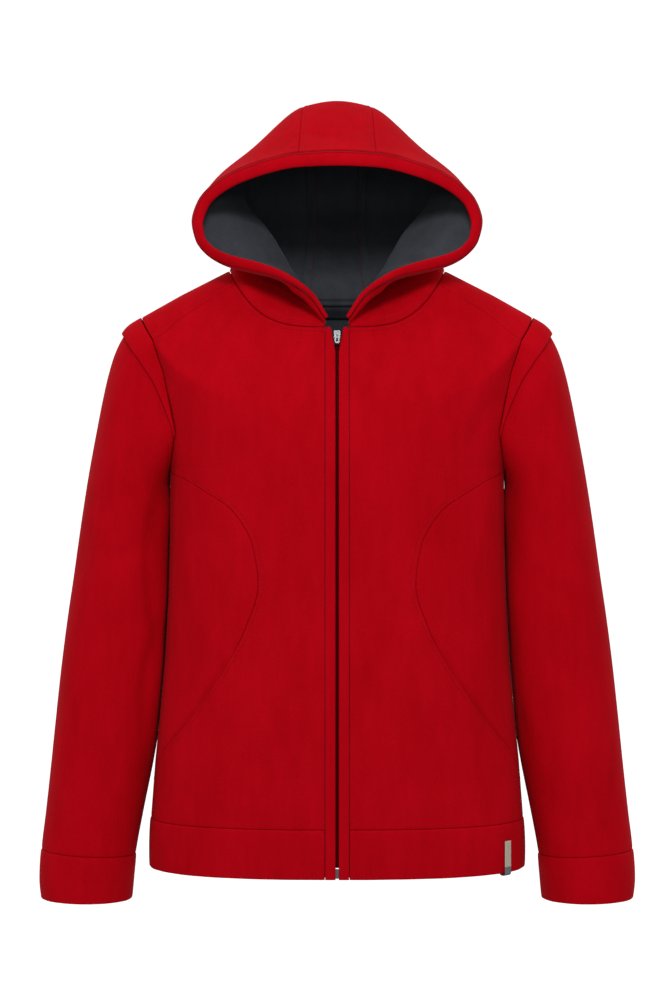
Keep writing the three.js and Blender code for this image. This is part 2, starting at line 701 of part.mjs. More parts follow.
function makeZipTape({ side, sign }) {
  const levels = [-521, ...STRIP_LEVELS.slice(1, -1), 18];
  const turnsAt = (at) => steps(turnAtX(TAPE_INNER, at), turnAtX(TAPE_OUTER, at), 1)
    .map((turn) => sign * turn);
  const tape = wall(bodyGrid(levels, turnsAt), { thick: TAPE_THICK, proud: -BEHIND_STRIP });
  addPiece(`zip_tape_${side}`, tape, CHARCOAL);
}

function makeZipChain() {
  const middle = STRIP_LEVELS.filter((at) => at > CHAIN_BOTTOM && at < CHAIN_TOP);
  const levels = [CHAIN_BOTTOM, ...middle, CHAIN_TOP];
  const turnsAt = (at) => [-1, 0, 1].map((way) => turnAtX(way * CHAIN_HALF, at));
  const chain = wall(bodyGrid(levels, turnsAt), { thick: CHAIN_THICK, proud: -BEHIND_STRIP + 0.4 });
  addPiece('zip_chain', chain, CHARCOAL, 0.5);
}

// Slider, pull tab and bottom stop are cast metal. They stand in a frame on the front surface:
// X across, Z up along the zip, and -Y straight out of it.
const SLIDER_LEVEL = 15.5;
const SLIDER = { wide: 5.6, tall: 7, deep: 5.6, plate: 1.3, web: 1.6 };
const BRIDGE = { wide: 1.5, tall: 3.6, reach: 2.4, bar: 0.9 };
const PULL = { wide: 4.4, long: 10, thick: 0.9, arm: 0.9, hole: 3.1, slot: 3.4 };
const PIVOT_OUT = 0.75;

function frameOnZip(at) {
  const frame = new THREE.Group();
  const normal = bodyNormal(0, at);
  frame.position.copy(bodyPoint(0, at)).addScaledVector(normal, STRIP_PROUD);
  frame.rotation.x = -Math.atan2(normal.z, -normal.y);
  hoodie.add(frame);
  return frame;
}

// A flat outline in Y and Z drawn out across X, centred on X = 0
function acrossX(outline, width, holes = []) {
  const shape = new THREE.Shape(outline.map(([y, z]) => new THREE.Vector2(y, z)));
  for (const hole of holes) {
    shape.holes.push(new THREE.Path(hole.map(([y, z]) => new THREE.Vector2(y, z))));
  }
  const geometry = new THREE.ExtrudeGeometry(shape, { depth: width, bevelEnabled: false });
  const turn = new THREE.Matrix4().set(0, 0, 1, -width / 2, 1, 0, 0, 0, 0, 1, 0, 0, 0, 0, 0, 1);
  return geometry.applyMatrix4(turn);
}

const wasm = await Module();
wasm.setup();

function toSolid(geometry) {
  const bare = geometry.clone();
  bare.deleteAttribute('normal');
  bare.deleteAttribute('uv');
  const merged = mergeVertices(bare, 1e-4);
  return new wasm.Manifold(new wasm.Mesh({
    numProp: 3,
    vertProperties: new Float32Array(merged.attributes.position.array),
    triVerts: new Uint32Array(merged.index.array),
  }));
}

function toGeometry(solid) {
  const mesh = solid.getMesh();
  const geometry = new THREE.BufferGeometry();
  geometry.setAttribute('position', new THREE.Float32BufferAttribute(mesh.vertProperties, 3));
  geometry.setIndex(Array.from(mesh.triVerts));
  geometry.computeVertexNormals();
  return geometry;
}

// Slider: two plates joined by a web at the top, and a bridge in front that holds the pull
function makeSlider(frame) {
  const { wide, tall, deep, plate, web } = SLIDER;
  const half = tall / 2;
  const body = acrossX([
    [0, -half], [plate, -half], [plate, half - web], [deep - plate, half - web],
    [deep - plate, -half], [deep, -half], [deep, half], [0, half],
  ], wide);
  const rise = BRIDGE.tall / 2;
  const bar = BRIDGE.bar;
  const bridge = acrossX([
    [0.4, -rise], [0.4, rise], [-BRIDGE.reach, rise], [-BRIDGE.reach, -rise],
  ], BRIDGE.wide, [[
    [0, bar - rise], [0, rise - bar], [bar - BRIDGE.reach, rise - bar], [bar - BRIDGE.reach, bar - rise],
  ]]);
  addPiece('zip_slider', toGeometry(toSolid(body).add(toSolid(bridge))), SILVER, 0.35, 1, frame);
}

// Pull tab: a bar through the bridge, two arms, and a plate with a slot
function makePull(frame) {
  const { wide, long, thick, arm, hole, slot } = PULL;
  const top = thick / 2;
  const half = wide / 2;
  const outline = new THREE.Shape([
    new THREE.Vector2(-half, top), new THREE.Vector2(-half, top - long + 1),
    new THREE.Vector2(-half + 1, top - long), new THREE.Vector2(half - 1, top - long),
    new THREE.Vector2(half, top - long + 1), new THREE.Vector2(half, top),
  ]);
  const window = (high, low, side) => new THREE.Path([
    new THREE.Vector2(-side, high), new THREE.Vector2(side, high),
    new THREE.Vector2(side, low), new THREE.Vector2(-side, low),
  ]);
  outline.holes.push(window(-top, -top - hole, half - arm));
  outline.holes.push(window(-top - hole - 1, -top - hole - 1 - slot, half - arm - 0.4));
  const geometry = new THREE.ExtrudeGeometry(outline, { depth: thick, bevelEnabled: false });
  geometry.translate(0, 0, -thick / 2).rotateX(Math.PI / 2).translate(0, -PIVOT_OUT, 0);
  addPiece('zip_pull', geometry, SILVER, 0.3, 1, frame);
}

// Bottom stop: the metal box that closes the zip's lower end
function makeBottomStop(frame) {
  const stop = new THREE.BoxGeometry(4, 3, 8);
  stop.translate(0, BEHIND_STRIP + STRIP_PROUD + 1, 0);
  addPiece('zip_bottom_stop', stop, SILVER, 0.4, 1, frame);
}

// Hem label: a bare tape folded round the hem's lower edge on the wearer's left
const LABEL = { inner: 146.5, outer: 155.5, top: -498, behind: -518, thick: 0.8 };

function makeLabel() {
  const off = SEAM + 0.3;
  const outside = BAND_PROUD + off;
  const inside = -SHELL - off - LABEL.thick;
  const path = [
    ...[LABEL.top, -508, -518, HEM].map((at) => ({ at, proud: outside, drop: 0 })),
    { at: HEM, proud: lerp(outside, inside, 0.15), drop: 0.7 },
    { at: HEM, proud: lerp(outside, inside, 0.85), drop: 0.7 },
    ...[HEM, LABEL.behind].map((at) => ({ at, proud: inside, drop: 0 })),
  ];
  const middles = path.map(({ at, proud, drop }) => {
    const turn = turnAtX((LABEL.inner + LABEL.outer) / 2, at);
    const point = bodyPoint(turn, at).addScaledVector(bodyNormal(turn, at), proud);
    return point.setZ(point.z - drop * (off + LABEL.thick));
  });
  const out = bodyNormal(turnAtX((LABEL.inner + LABEL.outer) / 2, HEM), HEM).setZ(0).normalize();
  const across = new THREE.Vector3(-out.y, out.x, 0).multiplyScalar((LABEL.outer - LABEL.inner) / 2);
  const grid = middles.map((middle, i) => {
    const before = middles[Math.max(i - 1, 0)];
    const after = middles[Math.min(i + 1, middles.length - 1)];
    const way = after.clone().sub(before);
    const normal = way.cross(across).normalize();
    return [-1, 1].map((end) => ({ point: middle.clone().addScaledVector(across, end), normal }));
  });
  addPiece('hem_label', wall(grid, { thick: LABEL.thick, proud: LABEL.thick }), BEIGE);
}

for (const piece of SIDES) {
  makeFront(piece);
  makeSideFront(piece);
  makePocketBag(piece);
  makeFlange(piece);
  makeSleeve(piece);
  makeZipStrip(piece);
  makeZipTape(piece);
}
makeBack();
makeHemBand();
makeHood();
makeHoodRim();
makeNeckTape();
makeZipChain();
const sliderFrame = frameOnZip(SLIDER_LEVEL);
makeSlider(sliderFrame);
makePull(sliderFrame);
makeBottomStop(frameOnZip(HEM + 5));
makeLabel();

export default hoodie;
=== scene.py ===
import bpy
import numpy as np
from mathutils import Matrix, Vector


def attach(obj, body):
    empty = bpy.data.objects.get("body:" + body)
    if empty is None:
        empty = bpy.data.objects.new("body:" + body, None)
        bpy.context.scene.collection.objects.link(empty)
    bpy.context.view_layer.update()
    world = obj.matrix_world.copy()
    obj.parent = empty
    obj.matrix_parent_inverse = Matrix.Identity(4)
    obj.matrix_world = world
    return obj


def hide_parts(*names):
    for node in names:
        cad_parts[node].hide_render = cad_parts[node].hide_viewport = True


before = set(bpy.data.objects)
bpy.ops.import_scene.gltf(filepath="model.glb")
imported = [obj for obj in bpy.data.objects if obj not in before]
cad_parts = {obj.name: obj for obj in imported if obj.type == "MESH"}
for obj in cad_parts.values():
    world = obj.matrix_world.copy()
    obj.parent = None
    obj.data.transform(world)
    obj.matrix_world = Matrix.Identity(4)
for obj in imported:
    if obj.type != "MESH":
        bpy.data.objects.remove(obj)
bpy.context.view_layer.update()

# Centre fronts. Bonded fleece, red outside and charcoal inside, about 2 mm thick. Each is one
# piece from the zip strip to the armhole, the forward shoulder seam and the curved side-front
# seam, and it runs under the crescent panel to the side seam at the hem.
HEM = -527.0
HEM_SEAM = -483.0
CRESCENT_LOW = -451.0
UNDERARM = -165.0
SHOULDER_END = -27.0
NECK = 20.0
SIDE = 90.0
BACK = 180.0
SHOULDER_SEAM = 61.6
UNDERARM_HALF = 7.0
ARMHOLE_HALF = SIDE - SHOULDER_SEAM
CORNER = 2.5
SHELL = 2.0
STRIP_OUTER = 10.5
SEAM = 0.3


class Table:
    """Named sizes at places along a piece, joined by curves that never overshoot them."""

    def __init__(self, columns, rows):
        self.names = columns.split()
        self.rows = np.array(rows, float)
        self.at = self.rows[:, 0]
        chord = np.diff(self.rows, axis=0) / np.diff(self.at)[:, None]
        before, after = chord[:-1], chord[1:]
        same = before * after > 0
        mean = 2 * before * after / np.where(same, before + after, 1)
        self.slope = np.vstack([chord[:1], np.where(same, mean, 0), chord[-1:]])

    def __call__(self, at, straight=()):
        at = np.asarray(at, float)
        i = np.clip(np.searchsorted(self.at, at) - 1, 0, len(self.at) - 2)
        span = self.at[i + 1] - self.at[i]
        t = np.clip((at - self.at[i]) / span, 0, 1)
        found = []
        for k, name in list(enumerate(self.names))[1:]:
            a, b = self.rows[i, k], self.rows[i + 1, k]
            if name in straight:
                found.append(a + (b - a) * t)
                continue
            bend = self.slope[i, k] * (1 - t) - self.slope[i + 1, k] * t
            found.append(a + (b - a) * t * t * (3 - 2 * t) + t * (1 - t) * span * bend)
        return found


# Loops from hem to neck: each runs round the body through its front, side and back points
BODY = Table("at sideX sideZ frontY frontZ backY backZ lift", [
    [HEM, 171.5, HEM, 104, HEM, 98, HEM, 4],
    [HEM_SEAM, 170.5, HEM_SEAM, 105, HEM_SEAM, 99, HEM_SEAM, 4],
    [-430, 166.5, -430, 105, -430, 99, -430, 4],
    [-385, 162, -385, 104, -385, 98, -385, 4],
    [-340, 158, -340, 103, -340, 97, -340, 4],
    [-285, 154.8, -285, 101, -285, 96, -285, 4],
    [-230, 153.5, -230, 100, -230, 96, -230, 4],
    [UNDERARM, 153, UNDERARM, 98.5, UNDERARM, 95, UNDERARM, 4],
    [-130, 157, -130, 97.3, -151, 94, -150, 4.2],
    [-96, 163, -96, 95.7, -137, 92.6, -134, 4.4],
    [-61, 169, -61, 93.5, -122, 90.6, -118, 4.5],
    [SHOULDER_END, 179.5, -26, 90, -105, 87.5, -100, 4.5],
    [-4, 143, -5.5, 82, -75, 77, -60, 3.8],
    [NECK, 99, 17, 69, -39, 52, -8, 3.9],
])


def body_point(turn, at):
    side_x, side_z, front_y, front_z, back_y, back_z, lift = BODY(at, ("sideX", "sideZ"))
    sine, cosine = np.sin(np.radians(turn)), np.cos(np.radians(turn))
    reach = (abs(sine) ** CORNER + abs(cosine) ** CORNER) ** (-1 / CORNER)
    across, deep = reach * abs(sine), reach * abs(cosine)
    middle_z = np.where(cosine > 0, front_z, back_z)
    x = np.sign(sine) * side_x * across
    y = np.where(cosine > 0, -front_y, back_y) * deep
    return np.stack([x, y, middle_z + (side_z - middle_z) * across ** lift], -1)


def turn_at_x(x, at):
    across = x / BODY(at, ("sideX", "sideZ"))[0]
    return np.degrees(np.arctan2(across, (1 - abs(across) ** CORNER) ** (1 / CORNER)))


def unit(vectors):
    return vectors / np.maximum(np.linalg.norm(vectors, axis=-1, keepdims=True), 1e-9)


def outward(point, a, b, low=HEM, high=NECK, step=0.4):
    """The outward direction of a surface that is given by a function of two values."""
    along = point(a + step, b) - point(a - step, b)
    up = point(a, np.minimum(b + step, high)) - point(a, np.maximum(b - step, low))
    return unit(np.cross(along, up))


def body_normal(turn, at):
    return outward(body_point, turn, at)


def on_body(turn, at):
    """Points on the body, and the outward direction at each."""
    return body_point(turn, at), body_normal(turn, at)


# Direction of the curved side-front seam at each height, down to the side seam
CURVED_SEAM = Table("at turn", [
    [HEM_SEAM, SIDE],
    [CRESCENT_LOW, SIDE],
    [-447, 83],
    [-430, 71],
    [-400, 53.5],
    [-378, 45.7],
    [-359, 40.4],
    [-338, 35.2],
    [-306, 29.3],
    [-269, 25.6],
    [-233, 27.7],
    [-219, 30.4],
    [-202, 36.3],
    [-190, 45],
    [-177, 56.2],
    [-171, 66.5],
    [UNDERARM, SIDE - UNDERARM_HALF],
])


def armhole_half(at):
    up = np.clip((at - UNDERARM) / (SHOULDER_END - UNDERARM) / 0.4, 0, 1)
    return UNDERARM_HALF + (ARMHOLE_HALF - UNDERARM_HALF) * np.sqrt(1 - (1 - up) ** 2)


def front_edge(at):
    low = CURVED_SEAM(np.minimum(at, UNDERARM))[0]
    high = np.where(at < SHOULDER_END, SIDE - armhole_half(np.minimum(at, SHOULDER_END)), SHOULDER_SEAM)
    return np.where(at <= UNDERARM, low, high)


# How far lines of points stand from a plain sewn edge, and from one with a second stitch line.
# The first line is all but on the edge, and a distance of FAR is away from every edge.
EDGE = 0.08
FAR = 99.0
STITCH_IN = 4.6
PLAIN = (EDGE, 0.2, 0.5, 0.9, 1.5, 2.5, 4)
STITCHED = (EDGE, 0.2, 0.5, 0.9, 1.6, 2.8, 3.8, 4.3, STITCH_IN, 4.9, 5.4, 7)
LINE_IN = STITCHED.index(STITCH_IN)


def stations(length, low_edge, high_edge, pitch):
    """Distances along a line: close together at both edges and even between them."""
    low, high = np.array(low_edge), length - np.array(high_edge)[::-1]
    count = max(int((high[0] - low[-1]) / pitch), 2)
    return np.concatenate([low, np.linspace(low[-1], high[0], count + 1)[1:-1], high])


def run_of(points):
    """How far each point is along its row of points."""
    legs = np.linalg.norm(np.diff(points, axis=-2), axis=-1)
    return np.concatenate([np.zeros(legs.shape[:-1] + (1,)), np.cumsum(legs, -1)], -1)


def climb(points):
    """How far each point of a grid is up its own column of points."""
    return run_of(points.swapaxes(0, 1)).swapaxes(0, 1)


def place_along(at, run, values):
    """Points or directions at some distances along a line of them."""
    return np.stack([np.interp(at, run, values[..., axis]) for axis in range(3)], -1)


def spread_rows(point, low, high, low_edge, high_edge, pitch, share=0.5, keep=()):
    """Levels whose lines of points stand at exact distances up the middle of a piece."""
    fine = np.linspace(low, high, 400)
    run = run_of(point(np.full(400, share), fine))
    at = np.interp(stations(run[-1], low_edge, high_edge, pitch), run, fine)
    for level in keep:
        at[np.argmin(abs(at - level))] = level
    return at


def spread_columns(point, levels, low_edge, high_edge, pitch):
    """For each level, shares across a piece that stand at exact distances from its edges."""
    fine = np.linspace(0, 1, 160)
    runs = run_of(point(fine[None, :], levels[:, None]))
    widest = runs[:, -1].max()
    even = stations(widest, low_edge, high_edge, pitch)
    low, high = len(low_edge), len(high_edge)
    middle = (even[low:-high] - even[low - 1]) / (even[-high] - even[low - 1])
    shares = []
    for run in runs:
        room = min(1, run[-1] / (low_edge[-1] + high_edge[-1]) * 0.8)
        first = np.array(low_edge) * room
        last = run[-1] - np.array(high_edge)[::-1] * room
        wanted = np.concatenate([first, first[-1] + (last[0] - first[-1]) * middle, last])
        shares.append(np.interp(wanted, run, fine))
    from_low = np.concatenate([low_edge, np.full(len(even) - low, FAR)])
    from_high = np.concatenate([np.full(len(even) - high, FAR), np.array(high_edge)[::-1]])
    return np.array(shares), from_low, from_high


def seam_relief(distance, stitched):
    """Height of the face near a sewn edge: drawn down at the seam, full over the turnings."""
    height = -0.32 * np.exp(-(distance / 1.7) ** 2)
    if stitched:
        height = height + 0.25 * np.exp(-((distance - 2.4) / 1.5) ** 2)
        height = height - 0.30 * np.exp(-((distance - STITCH_IN) / 0.55) ** 2)
    return height


def ease(share):
    """A share, held between 0 and 1, that starts and ends gently."""
    share = np.clip(share, 0, 1)
    return share * share * (3 - 2 * share)


# Creases fade out where the cloth comes within this distance of the middle of the depth
ROUND_THE_SIDE = 30.0


def press(points, folds, front=True):
    """Soft troughs and ridges, each along a line that is given as it is seen from the front."""
    height = np.zeros(points.shape[:-1])
    x, z = points[..., 0], points[..., 2]
    for x1, z1, x2, z2, wide, deep in folds:
        way = np.array([x2 - x1, z2 - z1])
        length = np.hypot(*way)
        share = ((x - x1) * way[0] + (z - z1) * way[1]) / length ** 2
        off = ((x - x1) * way[1] - (z - z1) * way[0]) / length
        bow = 0.06 * length * np.sin(np.clip(share, 0, 1) * np.pi)
        height += deep * np.exp(-((off - bow) / wide) ** 2 - ((share - 0.5) / 0.42) ** 4)
    return height * ease((-points[..., 1] if front else points[..., 1]) / ROUND_THE_SIDE)


# The edge of a cloth is rounded over this share of its half thickness
ROUNDED = 0.65


def make_cloth(name, points, normals, distance=FAR, relief=0.0, thick=SHELL, proud=0.0, present=None,
               closed=False, faces=("outer", "inner")):
    """A thin closed shell on a grid of points, rounded where the distance from its edge is small."""
    rows, columns = points.shape[:2]
    cells = np.ones((rows - 1, columns if closed else columns - 1), bool)
    if present is not None:
        cells &= present
    wide = np.zeros((rows + 1, columns + 1), int)
    wide[1:rows, 1:columns + 1 if closed else columns] = cells
    if closed:
        wide[:, 0] = wide[:, columns]
    around = wide[:-1, :-1] + wide[1:, :-1] + wide[:-1, 1:] + wide[1:, 1:]
    edge = around < 4
    half = thick / 2
    near = np.clip((distance - EDGE) / (half * ROUNDED), 0, 1)
    round_off = np.where(edge, 0, half * np.sqrt(1 - (1 - near) ** 2))
    middle = proud - half + relief
    outer = points + normals * (middle + round_off)[..., None]
    inner = points + normals * (middle - round_off)[..., None]
    number = np.arange(rows * columns).reshape(rows, columns)
    inner_number = np.where(edge, number, number + rows * columns)
    i, j = np.nonzero(cells)
    k = (j + 1) % columns

    def quads(n):
        return np.stack([n[i, j], n[i, k], n[i + 1, k], n[i + 1, j]], -1)

    a, b, c, d = quads(number).T
    flat = outer.reshape(-1, 3)
    facing = np.cross(flat[b] - flat[a], flat[d] - flat[a])
    flip = (facing * normals.reshape(-1, 3)[a]).sum() < 0
    outside, inside = quads(number), quads(inner_number)[:, ::-1]
    if flip:
        outside, inside = outside[:, ::-1], inside[:, ::-1]
    corners = np.concatenate([outside, inside])
    vertices = np.concatenate([flat, inner.reshape(-1, 3)]) * 0.001
    kind = np.repeat([0, 1], len(outside))
    piece = make_mesh(name, vertices, corners, kind)
    for face in faces:
        piece.data.materials.append(MATERIALS[face])
    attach(piece, "garment")
    return piece


def make_mesh(name, vertices, corners, kind=None):
    used, corners = np.unique(corners, return_inverse=True)
    corners = corners.reshape(-1, 4)
    mesh = bpy.data.meshes.new(name)
    mesh.vertices.add(len(used))
    mesh.vertices.foreach_set("co", vertices[used].ravel())
    mesh.loops.add(corners.size)
    mesh.loops.foreach_set("vertex_index", corners.ravel().astype(np.int32))
    mesh.polygons.add(len(corners))
    mesh.polygons.foreach_set("loop_start", np.arange(0, corners.size, 4, dtype=np.int32))
    mesh.polygons.foreach_set("use_smooth", np.ones(len(corners), bool))
    if kind is not None:
        mesh.polygons.foreach_set("material_index", kind.astype(np.int32))
    mesh.update(calc_edges=True)
    mesh.validate()
    piece = bpy.data.objects.new(name, mesh)
    bpy.context.scene.collection.objects.link(piece)
    return piece


def state_cut(points, present=None, closed=False):
    """Works out the flat size of a piece from the lines of points that it was laid out on; the sizes are
    not kept.
    """
    if closed:
        points = np.concatenate([points, points[:, :1]], 1)
    across = np.linalg.norm(np.diff(points, axis=1), axis=-1)
    up = np.linalg.norm(np.diff(points, axis=0), axis=-1)
    cells = np.cross(points[1:, 1:] - points[:-1, :-1], points[1:, :-1] - points[:-1, 1:])
    cells = np.linalg.norm(cells, axis=-1) / 2
    if present is not None:
        cells = cells * present
        across = across * np.vstack([present, present[-1:]])
    area = cells.sum() * 1e-6
    width, length = across.sum(1).max() * 0.001, up.sum(0).max() * 0.001
    length = max(length, area / width)
    width, length = max(width, 0.0105), max(length, 0.0105)
    round(width * 1.01, 3)
    round(length * 1.01, 3)


class Shade:
    """A value or colour in a material's nodes, which can be used in sums."""

    def __init__(self, tree, socket=None):
        self.tree = tree
        self.socket = socket

    def node(self, kind, settings=(), values=(), out=0):
        made = self.tree.nodes.new("ShaderNode" + kind)
        for name, setting in dict(settings).items():
            setattr(made, name, setting)
        for key, value in dict(values).items():
            if isinstance(value, Shade):
                self.tree.links.new(value.socket, made.inputs[key])
            else:
                made.inputs[key].default_value = value
        return Shade(self.tree, made.outputs[out] if made.outputs else None)

    def math(self, operation, a, b):
        return self.node("Math", {"operation": operation}, {0: a, 1: b})

    def __add__(self, other):
        return self.math("ADD", self, other)

    def __mul__(self, other):
        return self.math("MULTIPLY", self, other)

    __radd__ = __add__
    __rmul__ = __mul__

    def noise(self, place, scale, detail=2.0, roughness=0.5):
        return self.node("TexNoise", {}, {"Vector": place, "Scale": scale, "Detail": detail,
                                          "Roughness": roughness})

    def stretch(self, place, x, y, z):
        return self.node("VectorMath", {"operation": "MULTIPLY"}, {0: place, 1: (x, y, z)})

    def mix(self, share, a, b):
        return self.node("Mix", {"data_type": "RGBA"}, {0: share, 6: a, 7: b}, out=2)


def new_material(name):
    material = bpy.data.materials.new(name)
    material.use_nodes = True
    material.node_tree.nodes.clear()
    shade = Shade(material.node_tree)
    place = shade.node("TexCoord", out=3)
    return material, shade, place


def finish_material(shade, values):
    surface = shade.node("BsdfPrincipled", {}, values)
    shade.node("OutputMaterial", {}, {"Surface": surface})


MATERIALS = {}


def make_fleece(key, name, colour, pale, sheen, tint, nap, grain=520):
    """Brushed cloth: a soft nap that lies unevenly, over a fine even grain."""
    material, shade, place = new_material(name)
    fuzz = shade.noise(place, grain * 1.9, 3.0, 0.65)
    grain_value = shade.noise(place, grain, 2.0, 0.6)
    drift = shade.noise(shade.stretch(place, 1, 1, 0.45), 26, 3.0, 0.55)
    streak = shade.noise(shade.stretch(place, 1, 1, 0.25), 110, 2.0, 0.5)
    share = 0.5 * drift + 0.28 * streak + 0.3 * grain_value
    share = shade.node("MapRange", {}, {0: share, 1: 0.38, 2: 0.72, 3: 0.0, 4: 1.0})
    height = 0.6 * grain_value + 0.4 * fuzz
    bump = shade.node("Bump", {}, {"Strength": nap, "Distance": 0.0006, "Height": height})
    finish_material(shade, {
        "Base Color": shade.mix(share, colour, pale),
        "Roughness": 0.78 + 0.14 * fuzz,
        "Normal": bump,
        "Sheen Weight": sheen,
        "Sheen Roughness": 0.45,
        "Sheen Tint": tint,
        "Specular IOR Level": 0.03,
    })
    MATERIALS[key] = material


make_fleece("outer", "red fleece", (0.44, 0.0004, 0.0048, 1), (0.55, 0.0013, 0.0085, 1), 0.06,
            (1, 0.12, 0.14, 1), 0.3)
make_fleece("inner", "charcoal fleece", (0.040, 0.043, 0.050, 1), (0.060, 0.065, 0.076, 1), 0.10,
            (0.6, 0.65, 0.75, 1), 0.4, 420)

# Soft creases of the worn cloth, seen from the front: x1 z1 x2 z2 half-width depth, in mm
FRONT_FOLDS = [
    [150, -95, 118, -150, 9, -2.2],
    [144, -78, 100, -120, 12, -1.5],
    [-148, -90, -120, -160, 10, -1.8],
    [-132, -60, -112, -112, 13, -1.2],
    [-52, -120, -70, -230, 22, -1.4],
    [-100, -380, -66, -440, 16, -1.6],
    [-128, -300, -112, -400, 15, -1.1],
    [96, -200, 70, -300, 20, -1.2],
    [84, -370, 96, -455, 15, -1.8],
    [118, -250, 124, -360, 15, -1.1],
    [46, -60, 60, -190, 20, -0.9],
    [-88, -240, -74, -330, 17, 1.1],
    [60, -400, 44, -470, 18, 1.1],
    [-40, -390, -30, -470, 20, -1.1],
    [30, -200, 34, -330, 16, -0.8],
    [-120, -455, -60, -466, 8, 0.7],
    [60, -462, 130, -454, 8, 0.7],
]
THREADS = []
SIDES = (("left", 1), ("right", -1))


def strip_edge(at):
    return turn_at_x(STRIP_OUTER + SEAM, at)


for side, sign in SIDES:
    def front_point(share, at, sign=sign):
        inner, outer = strip_edge(at), front_edge(at)
        return body_point(sign * (inner + (outer - inner) * share), at)

    levels = spread_rows(front_point, HEM_SEAM, NECK, PLAIN, STITCHED, 3,
                         keep=(CRESCENT_LOW, UNDERARM, SHOULDER_END))
    shares, from_zip, from_side = spread_columns(front_point, levels, PLAIN, STITCHED, 3)
    at = np.repeat(levels[:, None], shares.shape[1], 1)
    turns = sign * (strip_edge(at) + (front_edge(at) - strip_edge(at)) * shares)
    points, normals = on_body(turns, at)
    from_hem = climb(points) + EDGE
    from_neck = from_hem[-1:] - from_hem + EDGE
    curved = ((levels > CRESCENT_LOW - 6) & (levels < UNDERARM))[:, None]
    at_armhole = (levels > UNDERARM)[:, None]
    distance = np.minimum(from_zip + 0.5, from_side + 0.45 * at_armhole)
    distance = np.minimum(distance, np.minimum(from_hem, from_neck))
    relief = press(points, FRONT_FOLDS)
    relief = relief + 0.5 * seam_relief(from_zip, False)[None, :]
    relief = relief + np.where(curved, seam_relief(from_side, True), 0.4 * seam_relief(from_side, False))
    relief = relief + seam_relief(from_hem, False) + seam_relief(from_neck, True)
    piece = make_cloth(f"front_{side}_cloth", points, normals, distance, relief)
    state_cut(points)
    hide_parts(f"front_{side}")
    lifted = points + normals * relief[..., None]
    line = -1 - LINE_IN
    low = np.searchsorted(levels, CRESCENT_LOW + 3)
    high = np.searchsorted(levels, UNDERARM - 1)
    THREADS.append((f"curved_seam_thread_{side}", lifted[low:high, line], normals[low:high, line]))
    THREADS.append((f"neck_thread_{side}", lifted[line], normals[line]))

# Side fronts. The same fleece, each a crescent between the curved seam and the side seam. The
# lower half of the curved seam is left open as the pocket mouth, where the edge stands a little
# off the front.
MOUTH_LOW = -425.0
MOUTH_HIGH = -318.0

for side, sign in SIDES:
    def crescent_point(share, at, sign=sign):
        return body_point(sign * (front_edge(at) + (SIDE - front_edge(at)) * share), at)

    levels = spread_rows(crescent_point, CRESCENT_LOW + 1.2, UNDERARM, PLAIN, PLAIN, 3, share=1.0)
    shares, from_seam, from_side = spread_columns(crescent_point, levels, PLAIN, PLAIN, 3)
    at = np.repeat(levels[:, None], shares.shape[1], 1)
    turns = sign * (front_edge(at) + (SIDE - front_edge(at)) * shares)
    points, normals = on_body(turns, at)
    from_top = (UNDERARM - at) + EDGE
    distance = np.minimum(np.minimum(from_seam, from_side)[None, :], from_top)
    mouth = np.clip((levels - MOUTH_LOW) / 20, 0, 1) * np.clip((MOUTH_HIGH - levels) / 20, 0, 1)
    mouth = (np.clip(mouth, 0, 1) ** 0.5)[:, None]
    relief = press(points, FRONT_FOLDS) + seam_relief(from_side, False) + seam_relief(from_top, False)
    relief = relief + seam_relief(from_seam, False) - 1.9 * mouth * np.exp(-(from_seam / 6) ** 2)
    piece = make_cloth(f"side_front_{side}_cloth", points, normals, distance, relief)
    state_cut(points)
    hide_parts(f"side_front_{side}")

# Back. One piece of the same fleece, which comes over the shoulders to the forward seams. The
# shoulder seams are stitched down on this side.
BACK_FOLDS = [
    [-140, -90, -100, -170, 12, -1.7],
    [138, -84, 104, -160, 13, -1.8],
    [-60, -120, -74, -260, 24, -1.3],
    [52, -150, 66, -300, 24, -1.4],
    [-20, -200, -8, -360, 26, 1.0],
    [-96, -340, -70, -460, 18, -1.6],
    [90, -360, 112, -460, 17, -1.4],
    [0, -400, 20, -470, 22, -1.0],
    [-50, -85, 40, -88, 14, -1.0],
]


# The side seam runs into the foot of the armhole over this height
UNDERARM_BEND = 14.0


def back_turn(share, at):
    low = ease((at - UNDERARM) / UNDERARM_BEND + 1)
    inner = np.where(at <= UNDERARM, SIDE + UNDERARM_HALF * low,
                     SIDE + armhole_half(np.clip(at, UNDERARM, SHOULDER_END)))
    return inner + (2 * BACK - 2 * inner) * share


def back_point(share, at):
    return body_point(back_turn(share, at), at)


low_levels = spread_rows(back_point, HEM_SEAM, SHOULDER_END, PLAIN, PLAIN, 3.2, keep=(UNDERARM,))
low_levels[-1] = SHOULDER_END
yoke_levels = spread_rows(back_point, SHOULDER_END, NECK, PLAIN, PLAIN, 3)[1:]
levels = np.concatenate([low_levels, yoke_levels])
shares, from_left, from_right = spread_columns(back_point, levels, PLAIN, PLAIN, 3.2)
at = np.repeat(levels[:, None], shares.shape[1], 1)
middle_turns = back_turn(shares, at)


def yoke_point(share, at):
    return body_point(SHOULDER_SEAM + (2 * SIDE - 2 * SHOULDER_SEAM) * share, np.maximum(at, SHOULDER_END))


